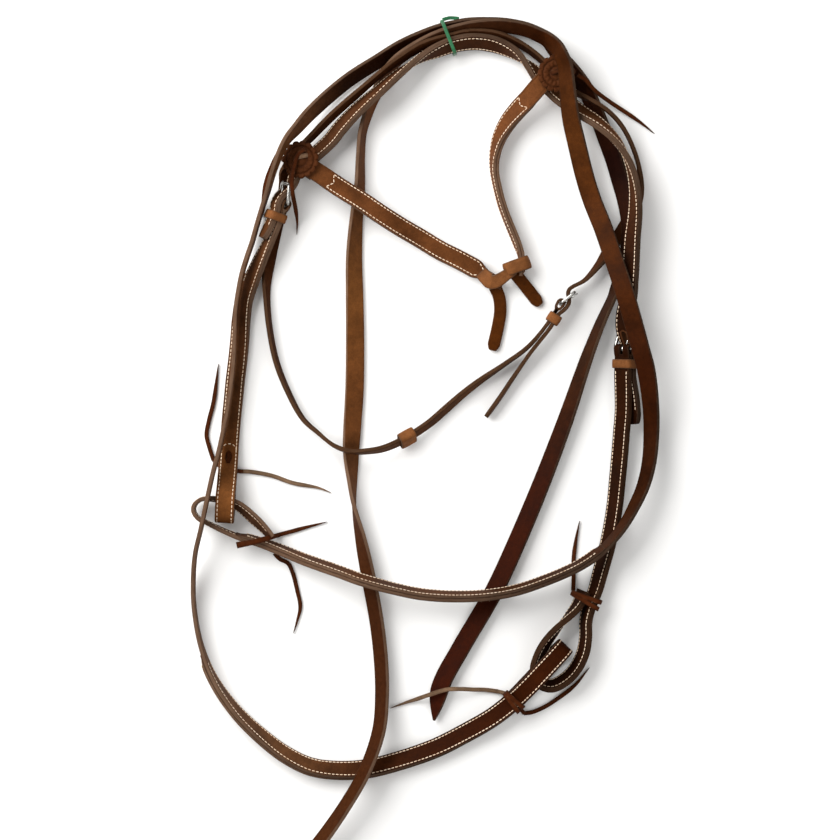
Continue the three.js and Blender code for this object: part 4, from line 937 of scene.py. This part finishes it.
def buckle(prefix, site, size, strap_width, strap_thick, keeper, chape):
    """A buckle with the folded strap end that holds it and the keeper behind it."""
    wire, tilt = size["wire"], size["tilt"]
    loop = tilted(site, frame_line((size["inside"] + wire) / 2, size["reach"]), tilt)
    piece(prefix + "_frame_steel", *tube(loop, wire / 2, closed=True), STEEL, body=prefix + "_frame",
          nodes=(prefix + "_buckle_frame",), smooth=None)
    line, radii, eye, faces = tongue(size)
    both = joined(tube(tilted(site, line, tilt), radii, 14), (tilted(site, eye, tilt), faces))
    piece(prefix + "_tongue_steel", *both, STEEL, body=prefix + "_tongue", nodes=(prefix + "_buckle_tongue",))
    # the strap's end, folded round the bar on both sides of the tongue
    bar = wire / 2 + GAP + 0.2 + CHAPE / 2
    arc = [(bar * c, bar * s) for c, s in map(cos_sin, range(105, -106, -21))]
    ply = strap_thick / 2 - CHAPE / 2 - 0.1
    line = [(-12, ply), (-8, ply + 0.2), (-4.5, bar * 0.8)] + arc
    line += [(-4.5, -bar * 0.8), (-8, -ply - 0.2), (-12, -ply)]
    slot_half = (size["width"] + 1.2) / 2
    wide = strap_width / 2 - slot_half
    for sign, name in ((-1, "inner"), (1, "outer")):
        mid = sign * (slot_half + wide / 2)
        path = Path([site.point((mid, y, z)) for y, z in line], site.axes[0])
        ribbon(prefix + "_chape_" + name, path, wide, strap_section(CHAPE, edge=0.6), chape)
    band(prefix + "_keeper_leather", site.point((0, keeper["y"], keeper["middle"] + GAP)), site.axes,
         strap_width + 1, keeper["height"] + 4 * GAP, keeper["length"], KEEPER_WALL, KEEPER,
         radius=KEEPER_CORNER, swell=0.25, nodes=(prefix + "_keeper",))


cheek_keeper = dict(y=-15, length=9, height=2 * LINED + GAP, middle=(LINED + GAP) / 2)
buckle("cheek_left", left_site, CHEEK_BUCKLE, STRAP, LINED, cheek_keeper, LATCH)
buckle("cheek_right", right_site, CHEEK_BUCKLE, STRAP, LINED, cheek_keeper, DARK_RUSSET)
buckle("throat", throat_site, THROAT_BUCKLE, THROAT, THROAT_THICK,
       dict(y=-17, length=10, height=2 * THROAT_THICK + GAP, middle=(THROAT_THICK + GAP) / 2), LATCH)
slide = next(k for k in range(len(throat.at)) if throat.at[k][0] < -17 and throat.at[k][1] < 0)
band("throat_sliding_keeper_leather", throat.at[slide],
     [throat.across[slide], throat.along[slide], throat.face[slide]], THROAT + 2.6, THROAT_THICK + 2.8, 17,
     KEEPER_WALL, KEEPER, body="sliding_keeper", radius=KEEPER_CORNER, swell=0.3,
     nodes=("throat_sliding_keeper",))

# ---- the futurity knot ---------------------------------------------------------------------------

neck = Stations([((56, 157.5, 9.5), 2), ((61.5, 152, 13), -12), ((67, 148, 16.5), -24),
                 ((74, 150, 18.5), -16), ((81.5, 155, 18), -4), ((89, 159.5, 14.5), 14)])
ribbon("knot_neck_left", neck, 16.5, strap_section(OUTER_PLY, edge=1.3), KEEPER, nodes=("knot_loop_left",),
       share=lambda d, end: 1.0 - 0.42 * min(1, abs(d / end - 0.3) / 0.7) ** 0.8)
band("knot_ring_right", (92, 164, 12.5), [*heading_pair(20), UP], 20.5, 12, 13.5, 3.2, KEEPER, radius=5.9,
     swell=0.7, nodes=("knot_loop_right",))
for side, rows in (("left", "70 143 6 0, 74 134 3 0, 75.5 120 1 2, 73 103 0.4 5, 67.5 79.5 0 8"),
                   ("right", "87 160 8 0, 94 152 5 0, 103 141 1 3, 115.5 125 0 4")):
    ribbon("knot_tail_%s_leather" % side, Stations(lay(12.5, OUTER_PLY, rows)), 12.5,
           strap_section(OUTER_PLY), TAIL, share=tip(0.42, 6.5), nodes=("knot_tail_" + side,))

# ---- rosettes ------------------------------------------------------------------------------------

PETALS, ROSETTE_SIDES = 15, 240
PETALS_FROM, PETALS_TO = 12.0, 19.0  # the radii between which the petals open
GROOVES, GROOVE_HALF = (6.9, 13.8), 0.8
# A rosette's turned profile as (radius, height): a boss, two grooves and the petals' rim.
ROSETTE_RINGS = table("""
    0.02 2.4, 2.2 2.35, 4.4 2.2, 5.4 1.9, 6.2 1.25, 6.9 1, 7.6 1.25, 8.4 2, 9.6 2.25, 11.4 2.25, 12.6 2.1,
    13.2 1.35, 13.8 1.05, 14.4 1.35, 15.1 1.95, 16.4 2.05, 17.6 1.8, 18.5 1.3, 19 0.5, 18.8 -0.6, 18 -1.5,
    9 -1.5, 0.02 -1.5""", 2)


def rosette(name, at, tilt, towards, node):
    """A scalloped leather rosette, tilted towards a heading. Its axes are returned."""
    x_axis, hinge = heading_pair(towards)
    c, s = cos_sin(tilt)
    axes = np.array([x_axis * c + np.cross(hinge, x_axis) * s, hinge, UP * c + np.cross(hinge, UP) * s])
    verts, cut, rim = [], [], []
    for r, z in ROSETTE_RINGS:
        outward = max(0.0, (r - PETALS_FROM) / (PETALS_TO - PETALS_FROM))
        for k in range(ROSETTE_SIDES):
            a = 2 * math.pi * k / ROSETTE_SIDES
            wave = abs(math.sin(PETALS * a / 2))
            rr = r * (1 - 0.095 * outward * (1 - wave ** 0.7))
            valley = 0.9 * outward * max(0.0, 1 - wave * 2.2) if z > 0 else 0
            petal = 0.3 * math.cos(PETALS * a) if 8.4 <= r <= PETALS_FROM else 0
            local = np.array([rr * math.cos(a), rr * math.sin(a), z - valley + petal])
            verts.append(np.asarray(at) + local @ axes)
            cut.append(1.0 if 18.6 < r and z < 0.6 else 0.0)
            in_groove = any(abs(r - groove) < GROOVE_HALF for groove in GROOVES)
            rim.append(0.75 if in_groove else (0.5 if r > 17.4 else 0.1))
    piece(name, verts, grid(len(ROSETTE_RINGS), ROSETTE_SIDES, flip=True), ROSETTE, nodes=(node,), smooth=50,
          values={"cut": cut, "rim": rim, "flesh": 0, "way": 0, "layer": 0})
    return axes


left_axes = rosette("rosette_left_leather", (-124, 269, 33), 10, 190, "rosette_left")
right_axes = rosette("rosette_right_leather", (131, 355, 29), 3, 20, "rosette_right")


def bridge(name, at, axes, heading, half, material=LACE_DARK, top=4.6):
    """A short stretch of lace that comes up through one slot of a rosette and goes down the other."""
    d, across = heading_pair(heading)
    points = [np.asarray(at) + d * x + axes[2] * z
              for x, z in ((-half - 0.6, 0.6), (-half, 2.4), (-half * 0.55, top - 0.4), (0, top),
                           (half * 0.55, top - 0.4), (half, 2.4), (half + 0.6, 0.6))]
    ribbon(name, Path(points, across), 4.6, strap_section(1.6, edge=0.5), material)


bridge("rosette_left_bridge", (-121, 272.5, 33), left_axes, 12, 5.2, LACE_LIGHT)
bridge("rosette_left_bridge_upper", (-119.5, 278, 33), left_axes, 150, 4.2, top=3.9)
bridge("rosette_right_bridge", (131, 357, 29), right_axes, 20, 5.2)

# ---- laces and ties ------------------------------------------------------------------------------

LACE = strap_section(LACE_THICK, edge=0.5)
LIGHT_LACES = ("cheek_left_lace_right", "rein_right_lace_left")  # these two show their pale flesh side
PATH_STEP = 3  # a cord's stations counted in threes: it only decides whether the last station is set apart, and the path is not used further


def lace_share(d, end):
    """A lace tapers over its last 30 mm."""
    return min(1.0, 0.1 + 0.9 * (max(0.0, end - d) / 30) ** 0.8)


for name, rows in LACES.items():
    route = Stations([(p + UP * LACE_THICK / 2, lean) for p, lean in loose(rows)], steps=12)
    material = LACE_LIGHT if name in LIGHT_LACES else LACE_DARK
    lace = ribbon(name + "_leather", route, LACE_WIDTH, LACE, material, share=lace_share, nodes=(name,))
    path = ((route.at + ORIGIN) * MM).tolist()
    last = [path[-1]] if (len(path) - 1) % PATH_STEP else []

# Two hitches, each two turns of lace over a stack of straps: half the stack's width, the height of its top,
# and how far down its sides the lace is seen.
HITCHES = {
    "cheek_right_tie": dict(at=(160.5, -169), heading=66, half=14.6, top=22.5, drop=15),
    "rein_right_tie": dict(at=(88, -271), heading=44, half=10.6, top=25, drop=20),
}
for name, tie in HITCHES.items():
    half, top, foot = tie["half"], tie["top"], tie["top"] - tie["drop"]
    along, across = heading_pair(tie["heading"])
    left = [(-half + 1.6, foot), (-half - 0.2, foot + 3), (-half - 0.4, top - 3.4), (-half + 1.8, top + 0.4)]
    profile = left + [(0, top + 0.9)] + [(-q, z) for q, z in reversed(left)]
    for k, (offset, slant) in enumerate(((-2.1, 0.12), (2.1, -0.08))):
        points = [np.array([*tie["at"], z + 0.25 * k]) + across * q + along * (offset + slant * q)
                  for q, z in profile]
        ribbon("%s_wrap_%d" % (name, k + 1), Path(points, along), LACE_WIDTH + 0.4, LACE, LACE_DARK,
               nodes=(name,) if k == 0 else ())

# The left cheek's lace is threaded through a slot in the strap, below an arch of stitches.
seat = way_near(cheek_left, -196.3, -27)
at, along, across, face = (v[0] for v in cheek_left.sample(np.array([seat])))
top = LINED / 2
oval = [at + across * (3.0 * c) + along * (5.6 * s) + face * (top + 0.1) for c, s in circle(40)]
piece("cheek_left_slot_rim", *tube(oval, 0.7, 10, closed=True), LACE_DARK, smooth=None)
bed = [at + face * (top - 0.1)] + [p - face * 0.1 for p in oval]
bed += [p - face * 1.2 for p in bed]
n = len(oval)  # a fan of triangles above, one below, and the wall between them
faces = [[0, 1 + k, 1 + (k + 1) % n] for k in range(n)]
faces += [[n + 1, n + 2 + (k + 1) % n, n + 2 + k] for k in range(n)]
faces += [[1 + k, n + 2 + k, n + 2 + (k + 1) % n, 1 + (k + 1) % n] for k in range(n)]
piece("cheek_left_slot_bed", bed, faces, SLOT_SHADOW)
line = [at + along * y + face * (top + z)
        for y, z in ((-4.8, -0.8), (-3.6, 0.9), (0, 1.7), (4.2, 1.2), (6.4, -0.6))]
ribbon("cheek_left_slot_lace", Path(line, across), 3.8, strap_section(1.5, edge=0.5), LACE_DARK,
       nodes=("cheek_left_tie",))


def short_lace(name, rows, width=4.0, material=LACE_DARK, **rest):
    """A stretch of a tie from a text of rows "x y height"."""
    ribbon(name, Stations(loose(rows)), width, LACE, material, **rest)


short_lace("cheek_left_tie_under", """
    -213 -28.5 1.2, -208 -34 3, -201 -38.5 7.6, -194 -40.5 7.8, -188 -41.2 4.5,
    -182.5 -41.5 1.9""", LACE_WIDTH)
ARCH_HALF, ARCH_RISE, ARCH_STITCHES = 7.2, 6.5, 5
arch = []
for a in np.linspace(0.24, math.pi - 0.24, ARCH_STITCHES):
    c, s = math.cos(a), math.sin(a)
    p = at + across * (ARCH_HALF * c) - along * (7 + ARCH_RISE * s) + face * (top + 0.05)
    arch.append((p, -across * ARCH_HALF * s - along * ARCH_RISE * c, face))
sew("cheek_left_arch_stitches", arch)

# The left rein's tie ends in a broad wedge of lace laid over both passes.
short_lace("rein_left_tie_wedge", """
    -187.5 -115 19, -184 -114.2 22, -176 -112.6 25.2, -167 -110.6 26.4, -157 -107.8 23, -150 -106 12,
    -146 -105 3""", 6.4, share=lambda d, end: 1.0 - 0.32 * d / end, nodes=("rein_left_tie",))

# Where a loose lace comes out from under its tie or strap.
short_lace("rein_right_tie_exit_left", "83 -265.4 6.5, 78 -263.2 3.4, 72.4 -262 1.3", material=LACE_LIGHT)
short_lace("rein_right_tie_exit_right", "94.6 -277.4 6.5, 97 -281 3.4, 99.6 -284.1 1.3")
short_lace("rein_left_tie_exit", "-151 -123.5 1.8, -148 -127.2 1.5, -145 -129.8 1.3")

# ---- twist tie -----------------------------------------------------------------------------------

band("twist_tie_band", (*TIE_AT, 14), [*heading_pair(-68), UP], 35, 26, 3.5, 1, GREEN, radius=5,
     nodes=("twist_tie",))
flap = Stations(lay(3.5, 1, "17.5 409.5 19 0, 25 411.6 16.5 0, 34 411 15.5 0"))
ribbon("twist_tie_end", flap, 3.5, strap_section(1.0, edge=0.25), GREEN, nodes=("twist_tie_flap",))

# ---- floor, light and camera ---------------------------------------------------------------------

FLOOR_HALF = 4  # metres
floor_mesh = bpy.data.meshes.new("floor")
corners = [(x * FLOOR_HALF, y * FLOOR_HALF, 0) for x, y in ((-1, -1), (1, -1), (1, 1), (-1, 1))]
floor_mesh.from_pydata(corners, [], [(0, 1, 2, 3)])
paper = Graph("pale_floor")
paper.show("Base Color", rgb(244, 243, 241))
paper.show("Roughness", 0.9)
floor_mesh.materials.append(paper.material)
placed("floor", floor_mesh)

# The camera looks straight down on a square of this width, in metres, at this height over the floor.
CAMERA_LENS, SENSOR_WIDTH, VIEW_WIDTH, VIEW_LEVEL = 180.0, 36.0, 0.84, 0.012
VIEW_MIDDLE = (-5, 10)
camera_data = bpy.data.cameras.new("camera")
camera_data.lens, camera_data.sensor_width = CAMERA_LENS, SENSOR_WIDTH
camera = placed("camera", camera_data)
camera.location = ((VIEW_MIDDLE[0] + ORIGIN[0]) * MM, (VIEW_MIDDLE[1] + ORIGIN[1]) * MM,
                   VIEW_LEVEL + VIEW_WIDTH * CAMERA_LENS / SENSOR_WIDTH)
bpy.context.scene.camera = camera

WORLD_STRENGTH = 0.62
# Each lamp's place and size in metres and its power in watts.
LAMPS = {"key": ((-1.35, 1.1, 1.35), 2.0, 84), "fill": ((1.5, -1.3, 1.6), 2.2, 14)}
world = bpy.data.worlds.new("studio")
world.use_nodes = True
background = world.node_tree.nodes["Background"]
background.inputs["Color"].default_value = (1.0, 1.0, 1.0, 1.0)
background.inputs["Strength"].default_value = WORLD_STRENGTH
bpy.context.scene.world = world
for name, (spot, size, power) in LAMPS.items():
    data = bpy.data.lights.new(name, "AREA")
    data.shape, data.size, data.energy = "SQUARE", size, power
    lamp = placed(name, data)
    lamp.location = spot
    lamp.rotation_euler = (-Vector(spot)).to_track_quat("-Z", "Y").to_euler()
bpy.context.scene.view_settings.view_transform = "Standard"
